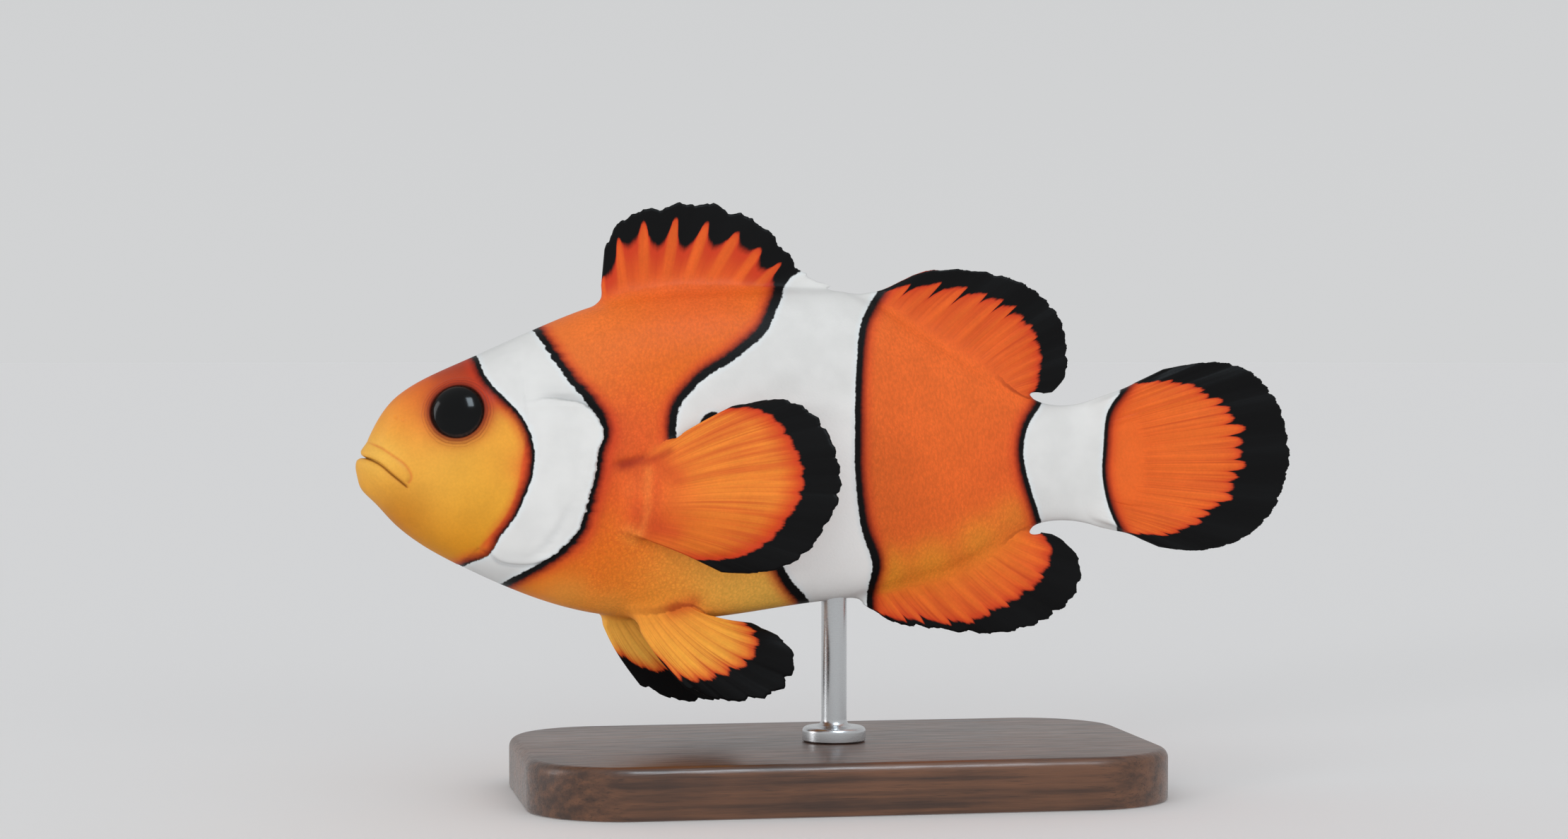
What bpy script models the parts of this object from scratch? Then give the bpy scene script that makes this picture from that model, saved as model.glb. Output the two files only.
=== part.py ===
"""A life-size clownfish (Amphiprion percula) as a still museum model on a plain display stand.

Fish coordinates are millimetres: x runs back from the snout tip, z up from the fish's long axis,
and the fish's left side faces -Y. An empty carries them to the row frame, where the origin is on
the floor under the middle of the model. The body is modelled whole and parted with thin cuts.
"""

import math

import bmesh
import bpy
import numpy as np
from mathutils import Matrix, Vector

MM = 0.001
GAP = 0.3

# Driving dimensions of the fish.
TOTAL_LENGTH = 90.0
BODY_END = 73.3
LEFT, RIGHT = -1.0, 1.0
SIDES = (("left", LEFT), ("right", RIGHT))

# Display stand.
BASE_SIZE = (60.0, 34.0, 4.8)
BASE_CORNER = 9.0
BASE_EDGE = 0.9
FIN_CLEARANCE = 4.2
ROD_RADIUS = 1.2
ROD_X = 45.0
ROD_SOCKET = 3.0
COLLAR_RADIUS = 3.0
COLLAR_HEIGHT = 1.5

# Body stations: x, back, belly, half width, height of the widest point, squareness of the section.
STATIONS = (
    (0.0, -1.0, -1.0, 0.0, -1.0, 2.3),
    (0.6, 1.6, -2.65, 1.8, -0.9, 2.3),
    (2.1, 4.4, -3.95, 3.1, -0.7, 2.3),
    (5.1, 7.2, -6.6, 4.4, -0.5, 2.3),
    (10.0, 9.6, -9.45, 5.7, -0.3, 2.3),
    (15.5, 12.05, -11.95, 6.6, -0.1, 2.2),
    (20.9, 14.3, -13.65, 7.1, 0.0, 2.15),
    (26.0, 15.75, -14.4, 7.2, 0.2, 2.1),
    (33.0, 16.35, -14.45, 7.0, 0.5, 2.1),
    (43.5, 16.35, -13.1, 6.0, 0.9, 2.1),
    (48.8, 15.3, -12.45, 5.2, 0.8, 2.1),
    (53.2, 12.5, -11.35, 4.4, 0.5, 2.1),
    (58.7, 9.3, -9.4, 3.3, 0.2, 2.1),
    (63.5, 6.25, -6.4, 2.4, 0.0, 2.1),
    (66.8, 5.35, -5.65, 1.9, 0.0, 2.1),
    (70.0, 5.85, -6.05, 1.35, 0.0, 2.1),
    (BODY_END, 7.0, -7.0, 0.8, 0.0, 2.1),
)

# The cut behind the head, down the nape and round the hind edge of the gill covers.
HEAD_EDGE = (
    (15.4, 14.0), (18.3, 9.1), (20.4, 6.1), (21.9, 4.3), (22.5, 2.2),
    (22.3, -0.8), (21.3, -4.4), (19.2, -7.5), (15.2, -10.5), (11.6, -13.2),
)
# The cut between trunk and tail stem, and the hind edge of the tail stem, both bowed forward.
STEM_EDGE = ((64.9, 8.0), (64.0, 4.6), (63.0, 1.0), (63.6, -3.1), (64.9, -8.0))
TAIL_BASE = ((72.4, 8.5), (71.2, 4.8), (70.5, 0.6), (70.8, -3.5), (71.9, -8.5))

# The lips meet along this line, and the lower jaw hinges from its corner down to the throat.
MOUTH_LINE = ((-2.0, 0.65), (0.6, 0.6), (2.9, -0.5), (4.8, -2.1))
JAW_HIND_EDGE = ((5.8, -4.0), (8.2, -10.2))
GILL_PLATE = (
    (25.0, 5.8), (17.0, 6.2), (15.5, 4.0), (14.8, 0.0), (14.3, -4.4), (12.8, -8.2), (15.6, -10.0), (25.0, -10.0),
)
GILL_PLATE_DEPTH = 1.0

EYE_PLACE = (9.15, 5.05)
EYE_RADIUS = 3.0
EYE_DEPTH = 2.0
EYE_BULGE = 0.75

# Fins. "base" and "margin" are (share, x, z): a ray at that share of the fin runs between them.
# "sheet" is the half thickness at the base and at the margin; "notch" is how far the web falls
# short of the ray tips; "bow" bends each ray, as a share of its length.
MEDIAN_FINS = {
    "dorsal_fin_spiny": {
        "rays": 10,
        "base": ((0.0, 22.6, 13.5), (0.5, 32.1, 14.9), (1.0, 41.4, 14.8)),
        "margin": (
            (0.0, 23.2, 20.0), (0.11, 24.2, 22.3), (0.22, 26.6, 23.8), (0.33, 30.0, 24.5), (0.44, 33.5, 24.5),
            (0.55, 36.7, 23.4), (0.66, 39.1, 21.7), (0.77, 41.1, 19.4), (0.88, 42.8, 17.6), (1.0, 45.0, 16.6),
        ),
        "sheet": (0.95, 0.28),
        "notch": 0.4,
        "bow": 0.0,
    },
    "dorsal_fin_soft": {
        "rays": 14,
        "base": ((0.0, 46.4, 14.6), (0.2, 49.4, 12.8), (0.5, 54.6, 9.9), (0.8, 59.6, 7.0), (1.0, 62.6, 4.9)),
        "margin": (
            (0.0, 47.0, 16.45), (0.1, 50.0, 16.5), (0.2, 53.2, 18.0), (0.3, 56.6, 18.4), (0.4, 59.4, 18.2),
            (0.5, 61.7, 17.7), (0.6, 63.9, 16.8), (0.7, 66.0, 15.2), (0.8, 67.4, 12.8), (0.88, 67.8, 10.4),
            (0.95, 67.4, 7.9), (1.0, 66.2, 6.5),
        ),
        "sheet": (0.9, 0.28),
        "notch": 0.22,
        "bow": -0.03,
    },
    "anal_fin": {
        "rays": 13,
        "base": ((0.0, 46.0, -11.3), (0.2, 49.9, -10.7), (0.5, 55.6, -9.0), (0.8, 60.6, -6.5), (1.0, 63.0, -4.9)),
        "margin": (
            (0.0, 47.8, -13.4), (0.08, 50.4, -15.1), (0.2, 53.6, -15.8), (0.3, 57.0, -16.3), (0.4, 60.1, -16.5),
            (0.5, 62.9, -16.2), (0.6, 65.5, -15.4), (0.7, 67.6, -14.0), (0.8, 69.0, -12.0), (0.88, 69.0, -9.8),
            (0.95, 68.0, -8.2), (1.0, 66.3, -6.9),
        ),
        "sheet": (0.9, 0.28),
        "notch": 0.25,
        "bow": 0.03,
    },
    "tail_fin": {
        "rays": 17,
        "base": ((0.0, 71.9, 6.4), (0.25, 71.2, 3.6), (0.5, 70.8, 0.2), (0.75, 71.2, -3.4), (1.0, 72.0, -6.3)),
        "margin": (
            (0.0, 77.2, 8.8), (0.12, 82.6, 9.55), (0.25, 86.6, 8.2), (0.38, 89.0, 5.1), (0.5, TOTAL_LENGTH, 0.8),
            (0.62, 89.2, -3.2), (0.75, 86.6, -6.8), (0.88, 81.6, -8.7), (1.0, 76.8, -8.3),
        ),
        "sheet": (0.95, 0.28),
        "notch": 0.2,
        "bow": 0.0,
    },
}

# Paired fins lie in their own plane: x back along the fin, z up. "place" is the root on the body,
# "flare" turns the fin out from the body about the vertical, "splay" swings its lower edge out and
# "curl" bends its free end. The right fin of a pair is held a little further forward: it is moved
# by "ahead" and swung by "stroke" degrees.
PAIRED_FINS = {
    "pectoral_fin": {
        "rays": 15,
        "base": ((0.0, -0.6, 0.2), (0.5, -0.7, -3.2), (1.0, -0.8, -6.7)),
        "margin": (
            (0.0, 7.4, 5.7), (0.12, 12.2, 6.4), (0.22, 15.0, 5.3), (0.34, 17.1, 2.7), (0.46, 18.0, -0.3),
            (0.57, 18.0, -3.2), (0.68, 16.8, -5.8), (0.79, 14.6, -8.0), (0.89, 11.4, -9.4), (1.0, 6.9, -9.5),
        ),
        "sheet": (0.75, 0.26),
        "notch": 0.25,
        "bow": 0.03,
        "place": (26.4, 6.9, 0.0),
        "flare": 27.0,
        "splay": 6.0,
        "curl": 1.4,
        "ahead": 0.0,
        "stroke": 0.0,
    },
    "pelvic_fin": {
        "rays": 8,
        "base": ((0.0, -0.4, 1.3), (0.5, 2.6, 1.3), (1.0, 5.6, 1.2)),
        "margin": (
            (0.0, 5.2, -7.5), (0.14, 8.0, -8.7), (0.28, 10.9, -9.0), (0.42, 13.4, -8.4), (0.56, 15.1, -6.9),
            (0.7, 15.6, -4.9), (0.8, 15.0, -3.3), (0.9, 13.5, -2.0), (1.0, 11.4, -1.0),
        ),
        "sheet": (0.7, 0.27),
        "notch": 0.35,
        "bow": -0.05,
        "place": (24.3, 2.9, -13.7),
        "flare": 7.0,
        "splay": 20.0,
        "curl": 0.7,
        "ahead": 1.8,
        "stroke": 5.0,
    },
}
FIN_ROWS = 5
RAY_RIDGE = 0.12

# Finish of each kind of surface: colour, roughness, metallic.
FINISHES = {
    "orange_skin": ((0.76, 0.14, 0.028, 1.0), 0.4, 0.0),
    "yellow_skin": ((0.78, 0.36, 0.05, 1.0), 0.4, 0.0),
    "white_skin": ((0.7, 0.7, 0.69, 1.0), 0.4, 0.0),
    "fin_web": ((0.74, 0.15, 0.026, 1.0), 0.45, 0.0),
    "eye_gloss": ((0.008, 0.009, 0.009, 1.0), 0.08, 0.0),
    "dark_wood": ((0.05, 0.026, 0.014, 1.0), 0.4, 0.0),
    "steel": ((0.6, 0.6, 0.6, 1.0), 0.28, 1.0),
}


def spline(knots, values):
    """A natural cubic spline through (knots, values), as a function of an array."""
    knots, values = np.asarray(knots, float), np.asarray(values, float)
    step = np.diff(knots)
    slope = np.diff(values) / step
    count = len(knots)
    system, right = np.eye(count), np.zeros(count)
    for i in range(1, count - 1):
        system[i, i - 1 : i + 2] = step[i - 1], 2 * (step[i - 1] + step[i]), step[i]
        right[i] = 6 * (slope[i] - slope[i - 1])
    bend = np.linalg.solve(system, right)

    def value(at):
        at = np.asarray(at, float)
        i = np.clip(np.searchsorted(knots, at, side="right") - 1, 0, count - 2)
        a, b, h = at - knots[i], knots[i + 1] - at, step[i]
        cubic = (bend[i] * b**3 + bend[i + 1] * a**3) / (6 * h)
        return cubic + (values[i] / h - bend[i] * h / 6) * b + (values[i + 1] / h - bend[i + 1] * h / 6) * a

    return value


def path(points):
    """A smooth (x, z) curve through the points, by share of the chord from 0 to 1."""
    points = np.asarray(points, float)
    chord = np.concatenate([[0.0], np.cumsum(np.linalg.norm(np.diff(points, axis=0), axis=1))])
    across, up = spline(chord / chord[-1], points[:, 0]), spline(chord / chord[-1], points[:, 1])
    return lambda share: np.stack([across(share), up(share)], axis=-1)


def smooth_outline(points, count):
    return [tuple(p) for p in path(points)(np.linspace(0, 1, count))]


# The stations are read against the square root of x, which rounds off the snout.
STATION_COLUMNS = list(zip(*STATIONS))
STATION_ROOTS = np.sqrt(STATION_COLUMNS[0])
BACK, BELLY, HALF_WIDTH, WIDEST, SQUARENESS = (spline(STATION_ROOTS, c) for c in STATION_COLUMNS[1:])


def half_width_at(x, z):
    """How far the body's side stands from the middle plane at (x, z)."""
    root = math.sqrt(x)
    widest = float(WIDEST(root))
    reach = float(BACK(root)) - widest if z > widest else widest - float(BELLY(root))
    n = float(SQUARENESS(root))
    share = min(abs(z - widest) / reach, 1.0)
    return float(HALF_WIDTH(root)) * (1 - share**n) ** (1 / n)


def side_normal(x, z):
    """The outward normal of the right side at (x, z)."""
    d = 0.05
    along = Vector((2 * d, half_width_at(x + d, z) - half_width_at(x - d, z), 0))
    up = Vector((0, half_width_at(x, z + d) - half_width_at(x, z - d), 2 * d))
    return up.cross(along).normalized()


def link(name, mesh, collection, finish=None):
    obj = bpy.data.objects.new(name, mesh)
    collection.objects.link(obj)
    if finish:
        obj.data.materials.append(finish)
    return obj


def mesh_of(name, bm):
    """The bmesh, in millimetres, as a mesh in metres with its faces pointing out."""
    bmesh.ops.recalc_face_normals(bm, faces=bm.faces)
    bmesh.ops.scale(bm, verts=bm.verts, vec=(MM, MM, MM))
    mesh = bpy.data.meshes.new(name)
    bm.to_mesh(mesh)
    bm.free()
    mesh.shade_smooth()
    mesh.set_sharp_from_angle(angle=math.radians(40))
    return mesh


def body_mesh(name, start=0.0, end=BODY_END, rings=40, sectors=28, inset=0.0):
    """The body from start to end as a loft of its sections, each drawn in by inset."""
    bm = bmesh.new()
    loops = []
    for root in np.linspace(math.sqrt(start), math.sqrt(end), rings):
        x, n, half = root**2, float(SQUARENESS(root)), float(HALF_WIDTH(root)) - inset
        back, belly, widest = float(BACK(root)) - inset, float(BELLY(root)) + inset, float(WIDEST(root))
        if half < 0.05:
            loops.append([bm.verts.new((x + inset, 0, widest))])
            continue
        loop = []
        for k in range(sectors):
            angle = 2 * math.pi * k / sectors
            c, s = math.cos(angle), math.sin(angle)
            r = (abs(c) ** n + abs(s) ** n) ** (-1 / n)
            reach = back - widest if s > 0 else widest - belly
            loop.append(bm.verts.new((x, half * r * c, widest + reach * r * s)))
        loops.append(loop)
    for near, far in zip(loops, loops[1:]):
        for k in range(sectors):
            a, b = k, (k + 1) % sectors
            corners = [near[0], far[a], far[b]] if len(near) == 1 else [near[a], near[b], far[b], far[a]]
            bm.faces.new(corners)
    for ends in (loops[0], loops[-1]):
        if len(ends) > 1:
            bm.faces.new(ends)
    return mesh_of(name, bm)


def prism_mesh(name, outline, low=-20.0, high=20.0):
    """A closed (x, z) outline drawn out across the body from y = low to y = high."""
    bm = bmesh.new()
    face = bm.faces.new([bm.verts.new((x, low, z)) for x, z in outline])
    drawn = bmesh.ops.extrude_face_region(bm, geom=[face])["geom"]
    moved = [v for v in drawn if isinstance(v, bmesh.types.BMVert)]
    bmesh.ops.translate(bm, verts=moved, vec=(0, high - low, 0))
    return mesh_of(name, bm)


def ellipsoid_mesh(name, radii, segments=20):
    bm = bmesh.new()
    bmesh.ops.create_uvsphere(bm, u_segments=segments, v_segments=segments // 2, radius=1.0)
    bmesh.ops.rotate(bm, verts=bm.verts, matrix=Matrix.Rotation(math.pi / 2, 3, "X"))
    bmesh.ops.scale(bm, verts=bm.verts, vec=radii)
    return mesh_of(name, bm)


def stations_of(rows):
    """The (x, z) of a fin's base or margin at any share."""
    shares, across, up = zip(*rows)
    across, up = spline(shares, across), spline(shares, up)
    return lambda share: Vector((float(across(share)), 0, float(up(share))))


def fin_mesh(name, fin, side=0.0):
    """A fin as two sheets of ray-and-web columns closed round the edge. A side curls it inwards."""
    base, margin = stations_of(fin["base"]), stations_of(fin["margin"])
    columns = 2 * fin["rays"] - 1
    root_half, tip_half = fin["sheet"]
    bm = bmesh.new()
    sheets = {-1: [], 1: []}
    for column in range(columns):
        share = column / (columns - 1)
        is_ray = column % 2 == 0
        foot, tip = base(share), margin(share)
        length = (tip - foot).length
        along = (tip - foot).normalized()
        across = Vector((-along.z, 0, along.x))
        if not is_ray:
            tip = tip - along * fin["notch"]
        for sheet, columns_of_sheet in sheets.items():
            line = []
            for row in range(FIN_ROWS):
                v = row / (FIN_ROWS - 1)
                at = foot.lerp(tip, v) + across * (fin["bow"] * length * math.sin(math.pi * v))
                half = root_half + (tip_half - root_half) * v**0.7
                half += RAY_RIDGE * (1 - 0.6 * v) * is_ray
                middle = -side * fin.get("curl", 0.0) * v**2
                line.append(bm.verts.new((at.x, middle + sheet * half, at.z)))
            columns_of_sheet.append(line)
    near, far = sheets[-1], sheets[1]
    for sheet in (near, far):
        for a, b in zip(sheet, sheet[1:]):
            for row in range(FIN_ROWS - 1):
                bm.faces.new((a[row], b[row], b[row + 1], a[row + 1]))
    rim = [(i, 0) for i in range(columns)] + [(columns - 1, r) for r in range(1, FIN_ROWS)]
    rim += [(i, FIN_ROWS - 1) for i in range(columns - 2, -1, -1)] + [(0, r) for r in range(FIN_ROWS - 2, 0, -1)]
    for (i, r), (j, q) in zip(rim, rim[1:] + rim[:1]):
        bm.faces.new((near[i][r], near[j][q], far[j][q], far[i][r]))
    return mesh_of(name, bm)


def cut(obj, operation, *tools):
    for tool in tools:
        boolean = obj.modifiers.new(tool.name, "BOOLEAN")
        boolean.operation = operation
        boolean.object = tool


def grown(outline, gap):
    """A closed outline moved outwards by gap, whichever way round it runs."""
    points = np.asarray(outline, float)
    before, after = points - np.roll(points, 1, axis=0), np.roll(points, -1, axis=0) - points
    area = np.sum(points[:, 0] * np.roll(points[:, 1], -1) - points[:, 1] * np.roll(points[:, 0], -1))
    turn = math.copysign(1.0, area)
    normals = [np.stack([e[:, 1], -e[:, 0]], axis=1) / np.linalg.norm(e, axis=1)[:, None] for e in (before, after)]
    middle = normals[0] + normals[1]
    middle /= np.sum(middle * normals[0], axis=1)[:, None]
    return [tuple(p) for p in points + turn * gap * middle]


def make_finishes():
    made = {}
    for name, (colour, roughness, metallic) in FINISHES.items():
        finish = bpy.data.materials.new(name)
        finish.use_nodes = True
        shader = finish.node_tree.nodes["Principled BSDF"]
        shader.inputs["Base Color"].default_value = colour
        shader.inputs["Roughness"].default_value = roughness
        shader.inputs["Metallic"].default_value = metallic
        made[name] = finish
    return made


class Workshop:
    """Where the nodes and the cutters go, and the empty that carries the fish."""

    def __init__(self):
        for obj in list(bpy.data.objects):
            bpy.data.objects.remove(obj, do_unlink=True)
        self.parts = bpy.data.collections.new("clownfish")
        self.cutters = bpy.data.collections.new("clownfish_cutters")
        for collection in (self.parts, self.cutters):
            bpy.context.scene.collection.children.link(collection)
        self.finishes = make_finishes()
        self.fish = bpy.data.objects.new("fish_axis", None)
        self.fish.location = Vector((-TOTAL_LENGTH / 2, 0, axis_height())) * MM
        self.parts.objects.link(self.fish)

    def part(self, name, mesh, finish, on_fish=True):
        obj = link(name, mesh, self.parts, self.finishes[finish])
        if on_fish:
            obj.parent = self.fish
        return obj

    def cutter(self, name, mesh, on_fish=True):
        obj = link(name, mesh, self.cutters)
        obj.hide_render = True
        obj.display_type = "WIRE"
        if on_fish:
            obj.parent = self.fish
        return obj


def lowest_fin_point():
    fin = PAIRED_FINS["pelvic_fin"]
    drop = min(z for _, _, z in fin["margin"]) * math.cos(math.radians(fin["splay"]))
    return fin["place"][2] + drop


def axis_height():
    """Height of the fish's long axis over the floor, which leaves the pelvic fins clear of the base."""
    return BASE_SIZE[2] + FIN_CLEARANCE - lowest_fin_point()


def region(edge, reach):
    """The closed outline of everything on one side of an edge curve, out to x = reach."""
    curve = smooth_outline(edge, 14)
    return curve + [(reach, curve[-1][1] - 9.0), (reach, curve[0][1] + 9.0)]


def jaw_outline(gap):
    """The lower jaw seen from the side, drawn back by gap where it faces the head."""
    face = smooth_outline(MOUTH_LINE, 8) + smooth_outline((MOUTH_LINE[-1],) + JAW_HIND_EDGE, 5)[1:]
    return grown(face + [(8.6, -14.0), (-3.0, -14.0)], gap)


def place_eye(obj, side):
    """Seats an eye in the side of the head, its axis along the skin's normal."""
    x, z = EYE_PLACE
    normal = side_normal(x, z)
    surface = Vector((x, half_width_at(x, z), z))
    centre = surface + normal * (EYE_BULGE - EYE_DEPTH)
    turned = Vector((normal.x, normal.y * side, normal.z))
    obj.location = Vector((centre.x, centre.y * side, centre.z)) * MM
    obj.rotation_euler = turned.to_track_quat("Y", "Z").to_euler()


def make_head(shop):
    head_region = region(HEAD_EDGE, -12.0)
    front = shop.cutter("cut_head", prism_mesh("cut_head", head_region))
    jaw_tool = shop.cutter("cut_jaw", prism_mesh("cut_jaw", jaw_outline(0.0)))
    jaw_room = shop.cutter("cut_jaw_room", prism_mesh("cut_jaw_room", jaw_outline(GAP)))
    inner = shop.cutter("cut_gill_inner", body_mesh("cut_gill_inner", 8, 34, 16, inset=GILL_PLATE_DEPTH))
    deeper = body_mesh("gill_room_inner", 6, 36, 18, inset=GILL_PLATE_DEPTH + GAP)

    head = shop.part("head", body_mesh("head"), "yellow_skin")
    cut(head, "INTERSECT", front)
    cut(head, "DIFFERENCE", jaw_room)
    lower_jaw = shop.part("lower_jaw", body_mesh("lower_jaw"), "yellow_skin")
    cut(lower_jaw, "INTERSECT", jaw_tool)

    for name, side in SIDES:
        low, high = sorted((side * 0.5, side * 20.0))
        plate_tool = shop.cutter(f"cut_gill_{name}", prism_mesh(f"cut_gill_{name}", GILL_PLATE, low, high))
        plate = shop.part(f"gill_cover_{name}", body_mesh(f"gill_cover_{name}"), "white_skin")
        cut(plate, "INTERSECT", front, plate_tool)
        cut(plate, "DIFFERENCE", inner)
        room_name = f"cut_gill_room_{name}"
        room = shop.cutter(room_name, prism_mesh(room_name, grown(GILL_PLATE, GAP), low, high))
        core = shop.cutter(f"cut_gill_core_{name}", deeper)
        cut(room, "DIFFERENCE", core)
        cut(head, "DIFFERENCE", room)

        eye = shop.part(f"eye_{name}", ellipsoid_mesh(f"eye_{name}", (EYE_RADIUS, EYE_DEPTH, EYE_RADIUS)), "eye_gloss")
        socket_radii = (EYE_RADIUS + GAP, EYE_DEPTH + GAP, EYE_RADIUS + GAP)
        socket = shop.cutter(f"cut_socket_{name}", ellipsoid_mesh(f"cut_socket_{name}", socket_radii))
        for obj in (eye, socket):
            place_eye(obj, side)
        cut(head, "DIFFERENCE", socket)


def make_trunk_and_tail(shop):
    no_head = shop.cutter("cut_behind_head", prism_mesh("cut_behind_head", grown(region(HEAD_EDGE, -12.0), GAP)))
    stem_region = region(STEM_EDGE, TOTAL_LENGTH)
    stem_tool = shop.cutter("cut_stem", prism_mesh("cut_stem", stem_region))
    no_stem = shop.cutter("cut_before_stem", prism_mesh("cut_before_stem", grown(stem_region, GAP)))
    tail_region = region(TAIL_BASE, TOTAL_LENGTH + 9.0)
    no_tail = shop.cutter("cut_before_tail", prism_mesh("cut_before_tail", grown(tail_region, GAP)))
    tail_tool = shop.cutter("cut_tail", prism_mesh("cut_tail", tail_region))

    trunk = shop.part("trunk", body_mesh("trunk"), "orange_skin")
    cut(trunk, "DIFFERENCE", no_head, no_stem)
    stem = shop.part("tail_stem", body_mesh("tail_stem"), "white_skin")
    cut(stem, "INTERSECT", stem_tool)
    cut(stem, "DIFFERENCE", no_tail)
    return trunk, tail_tool


def make_fins(shop, tail_tool):
    clear_of_body = shop.cutter("cut_body_room", body_mesh("cut_body_room", inset=-GAP))
    for name, fin in MEDIAN_FINS.items():
        obj = shop.part(name, fin_mesh(name, fin), "fin_web")
        if name == "tail_fin":
            cut(obj, "INTERSECT", tail_tool)
        else:
            cut(obj, "DIFFERENCE", clear_of_body)
    for name, fin in PAIRED_FINS.items():
        x, y, z = fin["place"]
        for side_name, side in SIDES:
            obj = shop.part(f"{name}_{side_name}", fin_mesh(f"{name}_{side_name}", fin, side), "fin_web")
            is_right = side == RIGHT
            obj.location = Vector((x - side * fin["ahead"] / 2, side * y, z)) * MM
            turns = (side * fin["splay"], is_right * fin["stroke"], side * fin["flare"])
            obj.rotation_mode = "YXZ"
            obj.rotation_euler = [math.radians(turn) for turn in turns]
            cut(obj, "DIFFERENCE", clear_of_body)


def make_stand(shop, trunk):
    length, width, height = BASE_SIZE
    bm = bmesh.new()
    bmesh.ops.create_cube(bm, size=1.0)
    bmesh.ops.scale(bm, verts=bm.verts, vec=BASE_SIZE)
    bmesh.ops.translate(bm, verts=bm.verts, vec=(0, 0, height / 2))
    upright = [e for e in bm.edges if abs(e.verts[0].co.z - e.verts[1].co.z) > height / 2]
    bmesh.ops.bevel(bm, geom=upright, offset=BASE_CORNER, segments=6, profile=0.5, affect="EDGES")
    rim = [e for e in bm.edges if all(v.co.z > height - 0.01 for v in e.verts)]
    bmesh.ops.bevel(bm, geom=rim, offset=BASE_EDGE, segments=2, profile=0.5, affect="EDGES")
    base = shop.part("stand_base", mesh_of("stand_base", bm), "dark_wood", on_fish=False)

    rod_x = ROD_X - TOTAL_LENGTH / 2
    foot, top = height / 2, axis_height() + float(BELLY(math.sqrt(ROD_X))) + ROD_SOCKET
    collar_low, collar_high = height + GAP, height + GAP + COLLAR_HEIGHT
    profile = (
        (0, top), (ROD_RADIUS - 0.2, top), (ROD_RADIUS, top - 0.2), (ROD_RADIUS, collar_high + 0.5),
        (COLLAR_RADIUS - 0.9, collar_high), (COLLAR_RADIUS, collar_high - 0.5), (COLLAR_RADIUS, collar_low),
        (ROD_RADIUS, collar_low), (ROD_RADIUS, foot), (0, foot),
    )
    bm = bmesh.new()
    turned = [bm.verts.new((r, 0, z)) for r, z in profile]
    for a, b in zip(turned, turned[1:]):
        bm.edges.new((a, b))
    rod_mesh = mesh_of("stand_rod", bm)
    rod = shop.part("stand_rod", rod_mesh, "steel", on_fish=False)
    rod.location.x = rod_x * MM
    screw = rod.modifiers.new("turned", "SCREW")
    screw.steps = screw.render_steps = 20
    screw.use_merge_vertices = True
    screw.merge_threshold = 0.00001

    for name, low, high, obj in (
        ("cut_rod_foot", foot - GAP, height + 2.0, base),
        ("cut_rod_socket", top - 2 * ROD_SOCKET - 4.0, top + GAP, trunk),
    ):
        bm = bmesh.new()
        radius = ROD_RADIUS + GAP
        bmesh.ops.create_cone(bm, cap_ends=True, segments=20, radius1=radius, radius2=radius, depth=high - low)
        bmesh.ops.translate(bm, verts=bm.verts, vec=(rod_x, 0, (low + high) / 2))
        cut(obj, "DIFFERENCE", shop.cutter(name, mesh_of(name, bm), on_fish=False))


def main():
    shop = Workshop()
    make_head(shop)
    trunk, tail_tool = make_trunk_and_tail(shop)
    make_fins(shop, tail_tool)
    make_stand(shop, trunk)


main()
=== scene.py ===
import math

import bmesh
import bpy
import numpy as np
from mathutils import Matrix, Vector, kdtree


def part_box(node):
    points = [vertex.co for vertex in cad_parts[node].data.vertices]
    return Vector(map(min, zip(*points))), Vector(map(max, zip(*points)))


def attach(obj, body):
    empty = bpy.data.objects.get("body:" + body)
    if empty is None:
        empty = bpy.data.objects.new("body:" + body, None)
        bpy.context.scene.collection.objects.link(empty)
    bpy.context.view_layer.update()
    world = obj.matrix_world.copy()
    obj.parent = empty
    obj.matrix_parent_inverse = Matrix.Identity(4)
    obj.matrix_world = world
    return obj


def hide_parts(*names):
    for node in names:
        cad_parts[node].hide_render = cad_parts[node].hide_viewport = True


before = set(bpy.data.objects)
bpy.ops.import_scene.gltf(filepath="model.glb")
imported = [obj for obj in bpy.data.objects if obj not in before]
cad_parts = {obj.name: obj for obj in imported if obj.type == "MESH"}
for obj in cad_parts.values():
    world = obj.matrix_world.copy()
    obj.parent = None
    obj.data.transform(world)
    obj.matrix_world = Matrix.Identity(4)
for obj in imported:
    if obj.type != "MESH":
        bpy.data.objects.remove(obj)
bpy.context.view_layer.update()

# The looks of the clownfish: one skin over body and fins, glossy eyes, and the display stand.
#
# Shapes are worked out in fish coordinates, in millimetres: x runs back from the snout tip, z up
# from the fish's long axis, and the fish's left side faces -Y. Markings are distances from curves
# drawn in the side view, kept on the skin's vertices and turned into colour by its shader.

MM = 0.001
FINE = 1.0

TOTAL_LENGTH = 90.0
BODY_END = 76.0
LEFT, RIGHT = -1.0, 1.0
SIDES = (("left", LEFT), ("right", RIGHT))

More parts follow.
